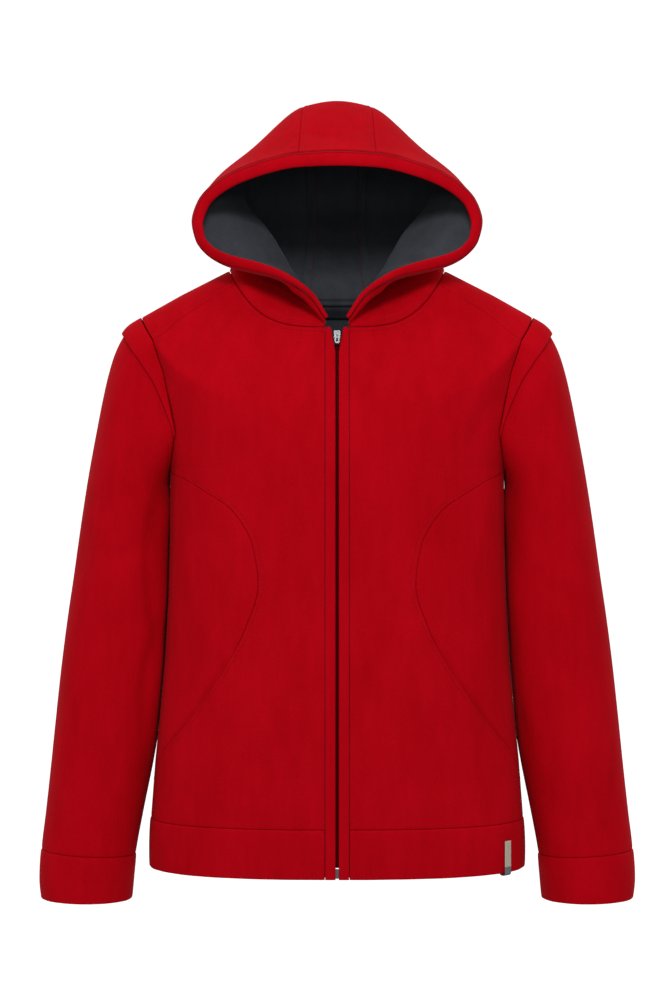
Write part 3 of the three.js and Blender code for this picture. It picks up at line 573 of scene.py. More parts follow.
yoke_shares, from_shoulder, _ = spread_columns(yoke_point, levels, STITCHED, (0.5, 1.5), 3)
yoke_turns = SHOULDER_SEAM + (2 * SIDE - 2 * SHOULDER_SEAM) * yoke_shares
turns = np.hstack([yoke_turns, middle_turns, (2 * BACK - yoke_turns)[:, ::-1]])
width, middle = yoke_turns.shape[1], middle_turns.shape[1]
at = np.repeat(levels[:, None], turns.shape[1], 1)
at[:, :width] = np.maximum(at[:, :width], SHOULDER_END)
at[:, -width:] = np.maximum(at[:, -width:], SHOULDER_END)
points, normals = on_body(turns, at)
split = len(low_levels) - 1
present = np.ones((len(levels) - 1, turns.shape[1] - 1), bool)
present[:split, :width] = False
present[:split, -width:] = False
height = climb(points)
from_hem = height + EDGE
from_neck = height[-1:] - height + EDGE
above = height - height[split:split + 1]
armhole = np.full(points.shape[:2], FAR)
armhole[:split + 1, width:width + middle] = np.minimum(from_left, from_right)
armhole[split:, :width] = above[split:, :width] + EDGE
armhole[split:, -width:] = above[split:, -width:] + EDGE
corner = np.hypot(np.minimum(from_left, from_right)[None, :], above[split:, width:width + middle])
armhole[split:, width:width + middle] = corner
shoulder = np.full(points.shape[:2], FAR)
shoulder[split:, :width] = from_shoulder
shoulder[split:, -width:] = from_shoulder[::-1]
distance = np.minimum(np.minimum(armhole + 0.45, shoulder), np.minimum(from_hem, from_neck))
relief = press(points, BACK_FOLDS, front=False) + 0.4 * seam_relief(armhole, False)
relief = relief + seam_relief(shoulder, True)
relief = relief + seam_relief(from_hem, False) + seam_relief(from_neck, False)
piece = make_cloth("back_cloth", points, normals, distance, relief, present=present)
state_cut(points, present=present)
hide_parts("back")
lifted = points + normals * relief[..., None]
for side, line in (("left", LINE_IN), ("right", -1 - LINE_IN)):
    THREADS.append((f"shoulder_thread_{side}", lifted[split:, line], normals[split:, line]))

# Pocket bags. Two thin layers of tricot laid together behind each front, sewn to the curved
# seam round the mouth.
POCKET_MOUTH = Table("at inner", [[-440, 42], [-425, 24], [-395, 15], [-350, 13], [-330, 16], [-316, 22]])
POCKET_LOW = -437.0
POCKET_THICK = 1.6
POCKET_IN = 2.9

make_fleece("tricot", "charcoal tricot", (0.020, 0.021, 0.025, 1), (0.030, 0.032, 0.038, 1), 0.05,
            (0.6, 0.6, 0.7, 1), 0.3, 700)

for side, sign in SIDES:
    levels = np.linspace(POCKET_LOW, MOUTH_HIGH, 44)
    share = np.linspace(0, 1, 40)
    inner, outer = POCKET_MOUTH(levels)[0][:, None], front_edge(levels)[:, None] - 1
    turns = sign * (inner + (outer - inner) * share)
    at = np.repeat(levels[:, None], len(share), 1)
    points, normals = on_body(turns, at)
    piece = make_cloth(f"pocket_bag_{side}_cloth", points, normals, relief=press(points, FRONT_FOLDS),
                       thick=POCKET_THICK, proud=-POCKET_IN, faces=("tricot", "tricot"))
    state_cut(points)
    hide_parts(f"pocket_bag_{side}")

# Hem band. Fleece folded double and set on in three lengths, front, back and front. It is
# fuller than the panels and its lower edge is a soft fold.
FOLDED = (EDGE, 0.25, 0.6, 1.1, 1.7, 2.4, 3.4)
BAND_PROUD = 0.4
BAND_THICK = 2.8


def make_band(name, first, last, node, held_edges=(PLAIN, PLAIN)):
    def band_point(share, at):
        return body_point(first(at) + (last - first(at)) * share, at)

    levels = spread_rows(band_point, HEM, HEM_SEAM, FOLDED, PLAIN, 3)
    shares, from_first, from_last = spread_columns(band_point, levels, *held_edges, 3)
    at = np.repeat(levels[:, None], shares.shape[1], 1)
    turns = first(at) + (last - first(at)) * shares
    points, normals = on_body(turns, at)
    from_low, from_seam = (at - HEM) + EDGE, (HEM_SEAM - at) + EDGE
    distance = np.minimum(np.minimum(from_first, from_last)[None, :], np.minimum(from_low, from_seam))
    full = 0.9 * np.sin(np.clip((at - HEM) / (HEM_SEAM - HEM), 0, 1) * np.pi) ** 0.5
    ripple = 0.35 * np.sin(np.radians(turns) * 23 + 1.3) * np.sin(np.radians(turns) * 9 + at * 0.03)
    relief = full + ripple * np.clip(from_seam / 20, 0, 1) + seam_relief(from_seam, False)
    relief = relief + seam_relief(np.minimum(from_first, from_last), False)[None, :]
    piece = make_cloth(name, points, normals, distance, relief, thick=BAND_THICK, proud=BAND_PROUD,
                       faces=("outer", "outer"))
    state_cut(points)
    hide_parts(node)


for side, sign in SIDES:
    make_band(f"hem_front_{side}_cloth", lambda at, sign=sign: sign * strip_edge(at), sign * SIDE,
              f"hem_front_{side}")
make_band("hem_back_cloth", lambda at: SIDE + 0 * at, 2 * BACK - SIDE, "hem_back")

# Sleeves. One piece of fleece each, set into the armhole and closed by a seam down the inside
# of the arm. They hang from the shoulder and bend a little forward.
SLEEVE = Table("at outX outZ inX inZ depth midY", [
    [0, 178, -30, 154.5, -164, 48, 0],
    [1, 191.5, -40, 156, -168, 51, 0],
    [2, 202, -57, 156, -173, 54, 1],
    [3, 209.5, -78, 156, -180, 56, 3],
    [4, 216, -104, 155, -190, 58, 5],
    [5, 222, -133, 153, -204, 58.5, 7],
    [6, 229, -170, 151, -224, 59, 9],
    [7, 236, -214, 149, -250, 58, 10],
    [8, 242.5, -260, 148, -280, 57, 10],
    [9, 249, -305, 149, -316, 56, 9],
    [10, 254.5, -350, 153, -355, 54, 7],
    [11, 259, -395, 160, -397, 52, 4],
    [12, 263, -438, 169.5, -439, 49, 0],
    [13, 267, -478, 178, -480, 46, -4],
    [14, 270.5, -512, 184.5, -517, 43.5, -8],
    [15, 271.2, -538, 187, -541, 42, -10],
    [16, 270, -556.5, 188, -557.5, 41.5, -11],
])
CUFF_SEAM = 14.0
CUFF_END = 16.0
HEAD_FADES = 5.0
FLANGE_THICK = 2.5
FLANGE_LOW = -135.0
ROUND_SLEEVE = 132
# The sleeve lies against the body from a little below the underarm, this far off it
ARM_REST = 1.0
REST_BELOW = 3.0
REST_REACH = 13.0
# The first ring stands one seam off the armhole's edge, square to it
OFF_ARMHOLE = np.array([0.985, 0, -0.17]) * SEAM


def body_side(y, z):
    """How far out the side of the body is, where the sleeve lies against it."""
    sizes = BODY(np.minimum(z, UNDERARM), ("sideX", "sideZ"))
    deep = np.minimum(abs(y) / np.where(y < 0, sizes[2], sizes[4]), 0.99)
    return sizes[0] * (1 - deep ** CORNER) ** (1 / CORNER) + ARM_REST


def ring_point(angle, at):
    out_x, out_z, in_x, in_z, depth, mid_y = SLEEVE(at)
    cosine, sine = np.cos(np.radians(angle)), np.sin(np.radians(angle))
    x = (in_x + out_x) / 2 + (out_x - in_x) / 2 * cosine
    z = (in_z + out_z) / 2 + (out_z - in_z) / 2 * cosine
    x, y, z = np.broadcast_arrays(x, mid_y - depth * sine, z)
    side = body_side(y, z)
    rests = np.clip((UNDERARM - REST_BELOW - z) / REST_REACH, 0, 1)
    clear = (x + side + np.sqrt((x - side) ** 2 + 4 * ARM_REST ** 2)) / 2
    return np.stack([x + (clear - x) * rests, y, z], -1)


def armhole_line(count):
    """Points round the armhole from the underarm up the front, over and down the back."""
    up = UNDERARM + (SHOULDER_END - UNDERARM) * np.linspace(0, 1, 300) ** 1.6
    over = np.linspace(SHOULDER_SEAM, 2 * SIDE - SHOULDER_SEAM, 120)[1:-1]
    turns = np.concatenate([[SIDE], SIDE - armhole_half(up), over, (SIDE + armhole_half(up))[::-1]])
    at = np.concatenate([[UNDERARM], up, over * 0 + SHOULDER_END, up[::-1]])
    turns, at = np.append(turns, SIDE), np.append(at, UNDERARM)
    run = run_of(body_point(turns, at))
    places = np.linspace(0, run[-1], count + 1)[:-1]
    return np.interp(places, run, turns), np.interp(places, run, at)


ARM_TURNS, ARM_LEVELS = armhole_line(ROUND_SLEEVE)
FLANGE_SHARE = np.clip((ARM_LEVELS - FLANGE_LOW) / (SHOULDER_END - FLANGE_LOW), 0, 1)


def sleeve_start():
    """Where the sleeve's first ring stands, and how far that is from the plain ring there."""
    edge = body_point(ARM_TURNS, ARM_LEVELS)
    out_x, out_z, in_x, in_z, depth, mid_y = (float(size) for size in SLEEVE(0.0))
    half = np.array([out_x - in_x, 0, out_z - in_z]) / 2
    middle = np.array([in_x, mid_y, in_z]) + half
    off = edge - middle
    under = np.minimum(1, FLANGE_SHARE * 4)[:, None]
    start = edge + OFF_ARMHOLE - unit(off) * under * (FLANGE_THICK + SEAM)
    angle = np.degrees(np.arctan2(-off[:, 1] / depth, off @ half / (half @ half)))
    angle[0] = 180
    half_way = np.arange(ROUND_SLEEVE) > ROUND_SLEEVE / 2
    angle = np.where(half_way & (angle > 0), angle - 360, angle)
    return angle, start - ring_point(angle, np.zeros(ROUND_SLEEVE))


ARM_ANGLE, ARM_SHIFT = sleeve_start()
ARM_EVEN = 180 - 360 * np.arange(ROUND_SLEEVE) / ROUND_SLEEVE


def sleeve_rings(places):
    """Rings of points down the left sleeve, from its own armhole's edge into even rings."""
    at = np.asarray(places, float)[:, None]
    turned = ARM_ANGLE + (ARM_EVEN - ARM_ANGLE) * np.clip((at - 1) / 7, 0, 1)
    fade = ease(1 - at / HEAD_FADES)
    return ring_point(turned, np.repeat(at, ROUND_SLEEVE, 1)) + ARM_SHIFT * fade[..., None]


def ring_normals(rings):
    along = np.roll(rings, -1, 1) - np.roll(rings, 1, 1)
    up = np.gradient(rings, axis=0)
    return unit(np.cross(up, along))


def spread_rings(first, last, first_edge, last_edge, pitch):
    fine = np.linspace(first, last, 300)
    run = run_of(sleeve_rings(fine)[:, ROUND_SLEEVE // 4])
    return np.interp(stations(run[-1], first_edge, last_edge, pitch), run, fine)


MIRROR = np.array([-1.0, 1, 1])
# Creases of the left and right sleeve as seen from the front, at the bend and the crook
SLEEVE_FOLDS = {
    "left": [
        [176, -200, 214, -262, 13, -2.2],
        [172, -250, 236, -300, 12, -1.6],
        [182, -330, 240, -352, 14, -1.4],
        [198, -370, 204, -500, 13, -1.9],
        [226, -380, 232, -500, 15, 1.6],
        [196, -110, 188, -190, 12, -1.5],
        [248, -440, 252, -510, 10, -0.9],
        [160, -175, 158, -335, 7, -3.2],
        [158, -300, 173, -425, 7, -3.0],
    ],
    "right": [
        [-176, -180, -222, -214, 13, -2.3],
        [-222, -214, -236, -268, 12, -1.6],
        [-172, -236, -214, -256, 10, -1.4],
        [-190, -300, -238, -330, 16, -1.4],
        [-200, -400, -206, -500, 13, -1.6],
        [-234, -360, -240, -480, 15, 1.5],
        [-190, -100, -180, -180, 12, -1.6],
        [-160, -175, -158, -335, 7, -3.2],
        [-158, -300, -173, -425, 7, -3.0],
    ],
}
# The same creases behind, a little higher and wider
BEHIND_TIMES = np.array([1, 1, 1, 1, 1.2, 1])
BEHIND_PLUS = np.array([0, 20, 0, 12, 0, 0])
# The cloth is full just under the arm, where it fills in against the body
FULL_X = 153.0
FULL_Z = -193.0
FULL_ACROSS = 6.0
FULL_UP = 28.0
FULL_DEEP = 3.0


def make_ring_cloth(name, rings, distance, relief, node, mirrored, thick, proud, faces):
    normals = ring_normals(rings)
    if mirrored:
        rings, normals = rings * MIRROR, normals * MIRROR
    piece = make_cloth(name, rings, normals, distance, relief, thick=thick, proud=proud, closed=True,
                       faces=faces)
    state_cut(rings, closed=True)
    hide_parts(node)
    return rings, normals


for side, sign in SIDES:
    places = spread_rings(0, CUFF_SEAM, PLAIN, PLAIN, 3.2)
    rings = sleeve_rings(places)
    seen = rings * (MIRROR if sign < 0 else 1)
    run = climb(rings)
    from_head, from_cuff = run + EDGE, run[-1:] - run + EDGE
    folds = np.array(SLEEVE_FOLDS[side])
    relief = press(seen, folds) + press(seen, folds * BEHIND_TIMES + BEHIND_PLUS, front=False)
    off_full = ((rings[..., 0] - FULL_X) / FULL_ACROSS) ** 2 + ((rings[..., 2] - FULL_Z) / FULL_UP) ** 2
    relief = relief + seam_relief(from_head, False) + seam_relief(from_cuff, False)
    relief = relief + FULL_DEEP * np.exp(-off_full)
    make_ring_cloth(f"sleeve_{side}_cloth", rings, np.minimum(from_head, from_cuff), relief,
                    f"sleeve_{side}", sign < 0, SHELL, 0, ("outer", "inner"))

    # Cuff: fleece folded double and set on, its end a soft fold
    places = spread_rings(CUFF_SEAM, CUFF_END, PLAIN, FOLDED, 3)
    rings = sleeve_rings(places)
    run = climb(rings)
    from_seam, from_end = run + EDGE, run[-1:] - run + EDGE
    full = 0.8 * np.sin(np.clip(run / run[-1:], 0, 1) * np.pi) ** 0.5
    around = np.radians(ARM_EVEN)[None, :]
    ripple = 0.3 * np.sin(around * 7 + sign) * np.sin(around * 3 + run * 0.05)
    relief = full + ripple + seam_relief(from_seam, False)
    make_ring_cloth(f"cuff_{side}_cloth", rings, np.minimum(from_seam, from_end), relief,
                    f"cuff_{side}", sign < 0, BAND_THICK, BAND_PROUD, ("outer", "outer"))

# Armhole flanges. A folded strip of fleece sewn into each armhole seam, which lies over the
# sleeve head. It is widest on the shoulder and runs out down the front and back.
FLANGE_START = 0.012
FLANGE_REACH = 1.25

for side, sign in SIDES:
    chosen = np.nonzero(ARM_LEVELS > FLANGE_LOW)[0]
    share = FLANGE_SHARE[chosen]
    wide = FLANGE_REACH * (0.12 + 0.88 * share)
    steps = np.array([0, 0.008, 0.04, 0.12, 0.25, 0.4, 0.55, 0.7, 0.82, 0.9, 0.95, 0.98, 1])
    at = FLANGE_START + (wide[None, :] - FLANGE_START) * steps[:, None]
    fine = np.linspace(0, FLANGE_REACH + 0.2, 80)
    rings = sleeve_rings(fine)
    points, facing = (np.stack([place_along(at[:, n], fine, grid[:, column])
                                for n, column in enumerate(chosen)], 1)
                      for grid in (rings, ring_normals(rings)))
    edge = body_point(ARM_TURNS, ARM_LEVELS)[chosen] + OFF_ARMHOLE
    square = unit(edge - rings[0][chosen] + facing[0] * 0.3)
    facing = facing + (square - facing) * np.clip(1 - steps / 0.4, 0, 1)[:, None, None]
    run = climb(points)
    ends = run_of(points[6][None])[0]
    ends = np.minimum(ends, ends[-1] - ends) + EDGE
    distance = np.minimum(np.minimum(run + 0.75, run[-1:] - run + EDGE), ends[None, :])
    if sign < 0:
        points, facing = points * MIRROR, facing * MIRROR
    piece = make_cloth(f"flange_{side}_cloth", points, unit(facing), distance,
                       0.5 * np.sin(np.clip(run / run[-1:], 0, 1) * np.pi), thick=FLANGE_THICK,
                       proud=FLANGE_THICK + 2 * SEAM, faces=("outer", "outer"))
    state_cut(points)
    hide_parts(f"armhole_flange_{side}")

# Hood. Two sides and a centre strip of fleece, sewn to the neck edge. The seams of the strip are
# stitched down, and the cloth gathers a little between the rim and the neck seam.
STRIP_HALF_TURN = 17.6
HOOD = Table("at lowX lowY lowZ topX topY topZ rimX rimY rimZ", [
    [6, 11, -70.5, -37, 11, -72, -35, 10.8, -73, -33],
    [17, 18, -60, -27, 26, -70, -18, 27, -73.5, -12],
    [30, 27, -42, -14, 47, -64, 0, 55, -71, 3],
    [46, 38, -20, 8, 66, -50, 14, 77, -60, 9],
    [SHOULDER_SEAM, 50, -2, 30, 82, -32, 34, 99.5, -50, 16],
    [76, 60, 14, 48, 94, -20, 54, 116.5, -43, 26],
    [SIDE, 71, 30, 63, 105, -6, 73, 128.5, -38, 41],
    [104, 80, 48, 73, 110, 10, 89, 132.5, -35, 58],
    [118.4, 85, 68, 80, 105.5, 26, 105.5, 126.5, -34, 78],
    [140, 66, 94, 84, 74, 46, 135.5, 94, -42, 104],
    [BACK - STRIP_HALF_TURN, 24, 108, 84, 31, 48, 174.5, 35, -54, 119.5],
    [BACK, 0, 110, 85, 0, 48, 180, 0, -56, 121],
    [BACK + STRIP_HALF_TURN, -24, 108, 84, -31, 48, 174.5, -35, -54, 119.5],
])
# Folds pressed in along the normal, each round one spot: turn, along, depth and half-widths
HOOD_FOLDS = [
    [BACK, 0.45, 11, 42, 0.045],
    [45, 0.68, 2.6, 3.4, 0.16],
    [32, 0.66, 2.4, 2.8, 0.16],
    [98, 0.8, 5, 8, 0.13],
    [38.5, 0.72, -3.0, 2.3, 0.15],
    [45, 0.72, 1.6, 1.8, 0.12],
    [32, 0.7, 1.4, 1.6, 0.12],
    [53, 0.7, -3.0, 3.0, 0.14],
    [25, 0.7, -2.0, 2.0, 0.13],
    [60, 0.72, 1.8, 2.0, 0.12],
]


def through(points, share):
    """A smooth curve through some points, as evenly paced as they stand."""
    place = np.clip(share, 0, 1) * (len(points) - 1)
    i = np.minimum(place.astype(int), len(points) - 2)
    t = (place - i)[..., None]
    ahead = 2 * points[-1] - points[-2]
    behind = 2 * points[0] - points[1]
    line = np.stack([behind, *points, ahead])
    p0, p1, p2, p3 = (np.take_along_axis(line, (i + k)[None, ..., None], 0)[0] for k in range(4))

    def gap(a, b):
        return np.maximum(((a - b) ** 2).sum(-1, keepdims=True) ** 0.25, 1e-4)

    d0, d1, d2 = gap(p0, p1), gap(p1, p2), gap(p2, p3)
    m1 = ((p1 - p0) / d0 - (p2 - p0) / (d0 + d1) + (p2 - p1) / d1) * d1
    m2 = ((p2 - p1) / d1 - (p3 - p1) / (d1 + d2) + (p3 - p2) / d2) * d1
    cubic = 2 * p1 - 2 * p2 + m1 + m2
    square = 3 * p2 - 3 * p1 - 2 * m1 - m2
    return p1 + m1 * t + square * t ** 2 + cubic * t ** 3


# The hood rises from the neck seam for this part of the way to its low point
FOOT = 0.3
FOOT_REACH = 24


def hood_base(turn, along):
    turn, along = np.broadcast_arrays(np.asarray(turn, float), np.asarray(along, float))
    facing = np.abs(np.where(turn > BACK, 2 * BACK - turn, turn))
    low_x, low_y, low_z, top_x, top_y, top_z, rim_x, rim_y, rim_z = HOOD(facing)
    neck = body_point(facing, np.full(facing.shape, NECK))
    low = np.stack([low_x, low_y, low_z], -1)
    rise = unit(unit(neck - body_point(facing, np.full(facing.shape, NECK - 2))) + np.array([0, 0, 1.0]))
    away = np.linalg.norm(low - neck, axis=-1, keepdims=True)
    foot = neck + rise * FOOT * np.minimum(away, FOOT_REACH)
    points = np.stack([neck, foot, low, np.stack([top_x, top_y, top_z], -1),
                       np.stack([rim_x, rim_y, rim_z], -1)])
    found = through(points, along)
    found[..., 0] *= np.where(turn > BACK, -1, 1)
    return found


def hood_point(turn, along):
    turn, along = np.broadcast_arrays(np.asarray(turn, float), np.asarray(along, float))
    facing = np.where(turn > BACK, 2 * BACK - turn, turn)
    pressed = np.zeros(facing.shape)
    for middle, centre, depth, turn_reach, along_reach in HOOD_FOLDS:
        off = ((facing - middle) / turn_reach) ** 2 + ((along - centre) / along_reach) ** 2
        pressed += depth * np.exp(-off)
    pressed *= np.clip(along / 0.12, 0, 1)
    return hood_base(turn, along) - outward(hood_base, turn, along, 0.02, 0.98) * pressed[..., None]


def hood_normal(turn, along):
    across = hood_point(turn + 0.5, along) - hood_point(turn - 0.5, along)
    up = hood_point(turn, np.minimum(along + 0.02, 1)) - hood_point(turn, np.maximum(along - 0.02, 0))
    return unit(np.cross(across, up))


def on_hood(turn, along):
    return hood_point(turn, along), hood_normal(turn, along)


# Soft creases of the crown, as seen from the front
CROWN_FOLDS = [
    [-34, 150, 6, 132, 7, -1.3],
    [36, 160, 12, 138, 8, -1.1],
    [-70, 132, -52, 118, 9, -0.9],
    [60, 140, 84, 112, 10, -0.9],
]


def make_hood_panel(name, first, last, first_edge, last_edge, node, lines):
    def panel_point(share, along):
        return hood_point(first + (last - first) * share, along)

    alongs = spread_rows(panel_point, 0, 1, STITCHED, PLAIN, 3)
    shares, from_first, from_last = spread_columns(panel_point, alongs, first_edge, last_edge, 3)
    along = np.repeat(alongs[:, None], shares.shape[1], 1)
    turns = first + (last - first) * shares
    points, normals = on_hood(turns, along)
    run = climb(points)
    from_neck, from_rim = run + EDGE, run[-1:] - run + EDGE
    distance = np.minimum(np.minimum(from_first, from_last)[None, :], np.minimum(from_neck, from_rim))
    relief = seam_relief(from_neck, True) + 0.5 * seam_relief(from_rim, False)
    relief = relief + press(points, CROWN_FOLDS)
    relief = relief + seam_relief(from_first, first_edge is STITCHED)[None, :]
    relief = relief + seam_relief(from_last, last_edge is STITCHED)[None, :]
    relief = relief * np.clip(distance / 0.6, 0.4, 1)
    piece = make_cloth(name, points, normals, distance, relief)
    state_cut(points)
    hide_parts(node)
    lifted = points + normals * relief[..., None]
    THREADS.append((f"{name}_neck_thread", lifted[LINE_IN], normals[LINE_IN]))
    for word, column in lines:
        THREADS.append((f"{name}_{word}_thread", lifted[:, column], normals[:, column]))
        inside = lifted[4:-4, column] - normals[4:-4, column] * SHELL
        THREADS.append((f"{name}_{word}_inner_thread", inside, -normals[4:-4, column]))


FIRST_TURN = float(strip_edge(np.array(NECK)))
make_hood_panel("hood_left_cloth", FIRST_TURN, BACK - STRIP_HALF_TURN, PLAIN, PLAIN, "hood_side_left", ())
make_hood_panel("hood_right_cloth", 2 * BACK - FIRST_TURN, BACK + STRIP_HALF_TURN, PLAIN, PLAIN,
                "hood_side_right", ())
make_hood_panel("hood_centre_cloth", BACK - STRIP_HALF_TURN, BACK + STRIP_HALF_TURN, STITCHED, STITCHED,
                "hood_centre", (("left", LINE_IN), ("right", -1 - LINE_IN)))

# Hood rim. The hood's front edge, turned in and stitched down into a soft full band that rolls
# towards the face.
RIM = Table("at halfWide", [
    [0, 1.5],
    [6, 1.5],
    [17, 2.4],
    [30, 4],
    [46, 5.4],
    [SHOULDER_SEAM, 5.8],
    [SIDE, 5.5],
    [118, 5.6],
    [150, 6.8],
    [BACK, 7.4],
])
RIM_TILT = 20.0
RIM_CLEAR = 71.0
RIM_HALF_THICK = 2.6
RIM_GAP = 0.75
RIM_ROUND = 40
RIM_STITCHES = (("one", 15), ("other", 25))

turns = np.concatenate([np.linspace(FIRST_TURN, 40, 60), np.linspace(40, BACK, 260)[1:]])
turns = np.concatenate([turns, (2 * BACK - turns)[::-1][1:]])
ones = np.ones(len(turns))
edge, normals = on_hood(turns, ones)
ahead = unit(edge - hood_point(turns, ones * 0.96))
inward = np.array([0, -50.0, 50]) - edge
inward[:, 1] = 0
along = unit(hood_point(turns + 1, ones) - hood_point(turns - 1, ones))
forward = np.broadcast_to(np.array([0, -1.0, 0]), along.shape)
forward = unit(forward - along * (forward * along).sum(-1, keepdims=True))
inward = inward - along * (inward * along).sum(-1, keepdims=True)
inward = unit(inward - forward * (inward * forward).sum(-1, keepdims=True))
behind = np.degrees(np.arctan2((ahead * forward).sum(-1), -(ahead * inward).sum(-1)))
opened = RIM_CLEAR - behind
tilt = np.radians((RIM_TILT + opened + np.hypot(RIM_TILT - opened, RIM_TILT)) / 2)[:, None]
wide = inward * np.cos(tilt) + forward * np.sin(tilt)
thick = unit(np.cross(along, wide))
half_wide = RIM(np.minimum(turns, 2 * BACK - turns))[0][:, None]
centre = edge + wide * (half_wide + RIM_GAP) - normals
around = np.radians(360 * np.arange(RIM_ROUND) / RIM_ROUND)
run = run_of(centre[None])[0]
pucker = 0.22 * np.sin(run / 2.9 + np.sin(run / 31) * 2)
half = RIM_HALF_THICK + 0.3 + pucker[:, None] * np.cos(around)[None, :] ** 2
stitch = 0.8 * np.exp(-((np.cos(around) + 0.62) / 0.12) ** 2)
points = centre[:, None] + wide[:, None] * (half_wide * np.cos(around))[..., None]
points = points + thick[:, None] * ((half - stitch) * np.sin(around))[..., None]
rim_rows, rim_columns = points.shape[:2]
for word, column in RIM_STITCHES:
    away = thick * np.sign(np.sin(around[column]))
    THREADS.append((f"rim_{word}_thread", points[:, column] + away * 0.2, away))
number = np.arange(rim_rows * rim_columns).reshape(rim_rows, rim_columns)
i, j = np.nonzero(np.ones((rim_rows - 1, rim_columns), bool))
k = (j + 1) % rim_columns
corners = np.stack([number[i, j], number[i, k], number[i + 1, k], number[i + 1, j]], -1)
opposite = np.arange(rim_columns // 2 - 1)
lid = np.stack([opposite, opposite + 1, rim_columns - 2 - opposite, rim_columns - 1 - opposite], -1)
corners = np.concatenate([corners, lid[:, ::-1], lid + (rim_rows - 1) * rim_columns])
piece = make_mesh("hood_rim_cloth", points.reshape(-1, 3) * 0.001, corners)
piece.data.materials.append(MATERIALS["outer"])
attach(piece, "garment")
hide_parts("hood_rim")
length = run[-1] * 0.001
width = half_wide.mean() * 0.001
round(4 * width + 0.003, 3)
round(length * 2 * width, 5)

# Neck tape. A narrow woven tape that covers the back neck seam inside. It lies on the turnings
# and ends at the two shoulder seams.
NECK_TAPE_LOW = 14.0
NECK_TAPE_HIGH = NECK - 1.8
NECK_TAPE_THICK = 1.0

levels = np.linspace(NECK_TAPE_LOW, NECK_TAPE_HIGH, 8)
turns = np.linspace(2 * SIDE - SHOULDER_SEAM, 2 * BACK - 2 * SIDE + SHOULDER_SEAM, 90)
at = np.repeat(levels[:, None], len(turns), 1)
turns = np.repeat(turns[None, :], len(levels), 0)
points, normals = on_body(turns, at)
piece = make_cloth("neck_tape_cloth", points, normals, thick=NECK_TAPE_THICK,
                   proud=-SHELL - SEAM - 0.3, faces=("tricot", "tricot"))
state_cut(points)
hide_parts("neck_tape")

# Zip strips. The fronts' edges folded back over the zip and stitched down. They meet in front
# of the teeth and part at the top.
STRIP_THICK = 3.0
STRIP_PROUD = 0.6
STRIP_GAP = 1.4
STRIP_GAP_TOP = 5.5
GAP_OPENS = -62.0
GAP_TOP = -39.0


def strip_gap(at):
    front_z = BODY(at, ("sideX", "sideZ"))[3]
    opened = np.clip((front_z - GAP_OPENS) / (GAP_TOP - GAP_OPENS), 0, 1)
    return STRIP_GAP + (STRIP_GAP_TOP - STRIP_GAP) * opened


for side, sign in SIDES:
    def strip_point(share, at, sign=sign):
        gap = strip_gap(at)
        return body_point(sign * turn_at_x(gap + (STRIP_OUTER - gap) * share, at), at)

    levels = spread_rows(strip_point, HEM, NECK, FOLDED, FOLDED, 3)
    share = np.array([0, 0.02, 0.06, 0.12, 0.2, 0.3, 0.42, 0.55, 0.66, 0.75, 0.83, 0.9, 0.95, 0.98, 1])
    at = np.repeat(levels[:, None], len(share), 1)
    gap = strip_gap(at)
    x = gap + (STRIP_OUTER - gap) * share
    turns = sign * turn_at_x(x, at)
    points, normals = on_body(turns, at)
    from_gap, from_seam = x - gap + EDGE, STRIP_OUTER - x + EDGE
    run = climb(points)
    ends = np.minimum(run, run[-1:] - run) + EDGE
    distance = np.minimum(np.minimum(from_gap, from_seam + 0.7), ends)
    ripple = 0.14 * np.sin(run / 7 + sign) * np.sin(run / 23)
    relief = 0.35 * np.sin(np.pi * share)[None, :] + ripple + 0.5 * seam_relief(from_seam, False)
    piece = make_cloth(f"zip_strip_{side}_cloth", points, normals, distance, relief, thick=STRIP_THICK,
                       proud=STRIP_PROUD, faces=("outer", "outer"))
    state_cut(points)
    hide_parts(f"zip_strip_{side}")

# Zip. Two woven tapes behind the strips with a dark coil between them, its teeth on a core, and
# a cast slider, pull and bottom stop in silver-coloured metal.
TAPE_THICK = 0.9
TAPE_INNER = 3.1
TAPE_OUTER = 15.0
TAPE_LOW = -521.0
TAPE_BENDS = -60.0
TAPE_HIGH = 18.0
BEHIND_STRIP = STRIP_THICK - STRIP_PROUD + SEAM + 0.5
CHAIN_LOW = -517.0
CHAIN_HIGH = 11.0
TOOTH_PITCH = 1.9
TOOTH_HALF = np.array([1.35, 0.42, 0.95])
TOOTH_ASIDE = 1.15
TOOTH_IN = BEHIND_STRIP + 0.75
CORE_HALF = 2.3
CORE_THICK = 0.7
CORE_IN = BEHIND_STRIP + 1.85

for side, sign in SIDES:
    levels = np.concatenate([np.linspace(TAPE_LOW, TAPE_BENDS, 150),
                             np.linspace(TAPE_BENDS, TAPE_HIGH, 40)[1:]])
    x = np.linspace(TAPE_INNER, TAPE_OUTER, 9)
    at = np.repeat(levels[:, None], len(x), 1)
    turns = sign * turn_at_x(np.repeat(x[None, :], len(levels), 0), at)
    points, normals = on_body(turns, at)
    piece = make_cloth(f"zip_tape_{side}_cloth", points, normals, thick=TAPE_THICK, proud=-BEHIND_STRIP,
                       faces=("tricot", "tricot"))
    state_cut(points)
    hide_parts(f"zip_tape_{side}")

material, shade, place = new_material("dark zip coil")
speck = shade.noise(place, 900, 2.0)
finish_material(shade, {"Base Color": shade.mix(speck, (0.085, 0.0006, 0.0015, 1), (0.14, 0.001, 0.003, 1)),
                        "Roughness": 0.5 + 0.2 * speck,
                        "Specular IOR Level": 0.04})
MATERIALS["coil"] = material

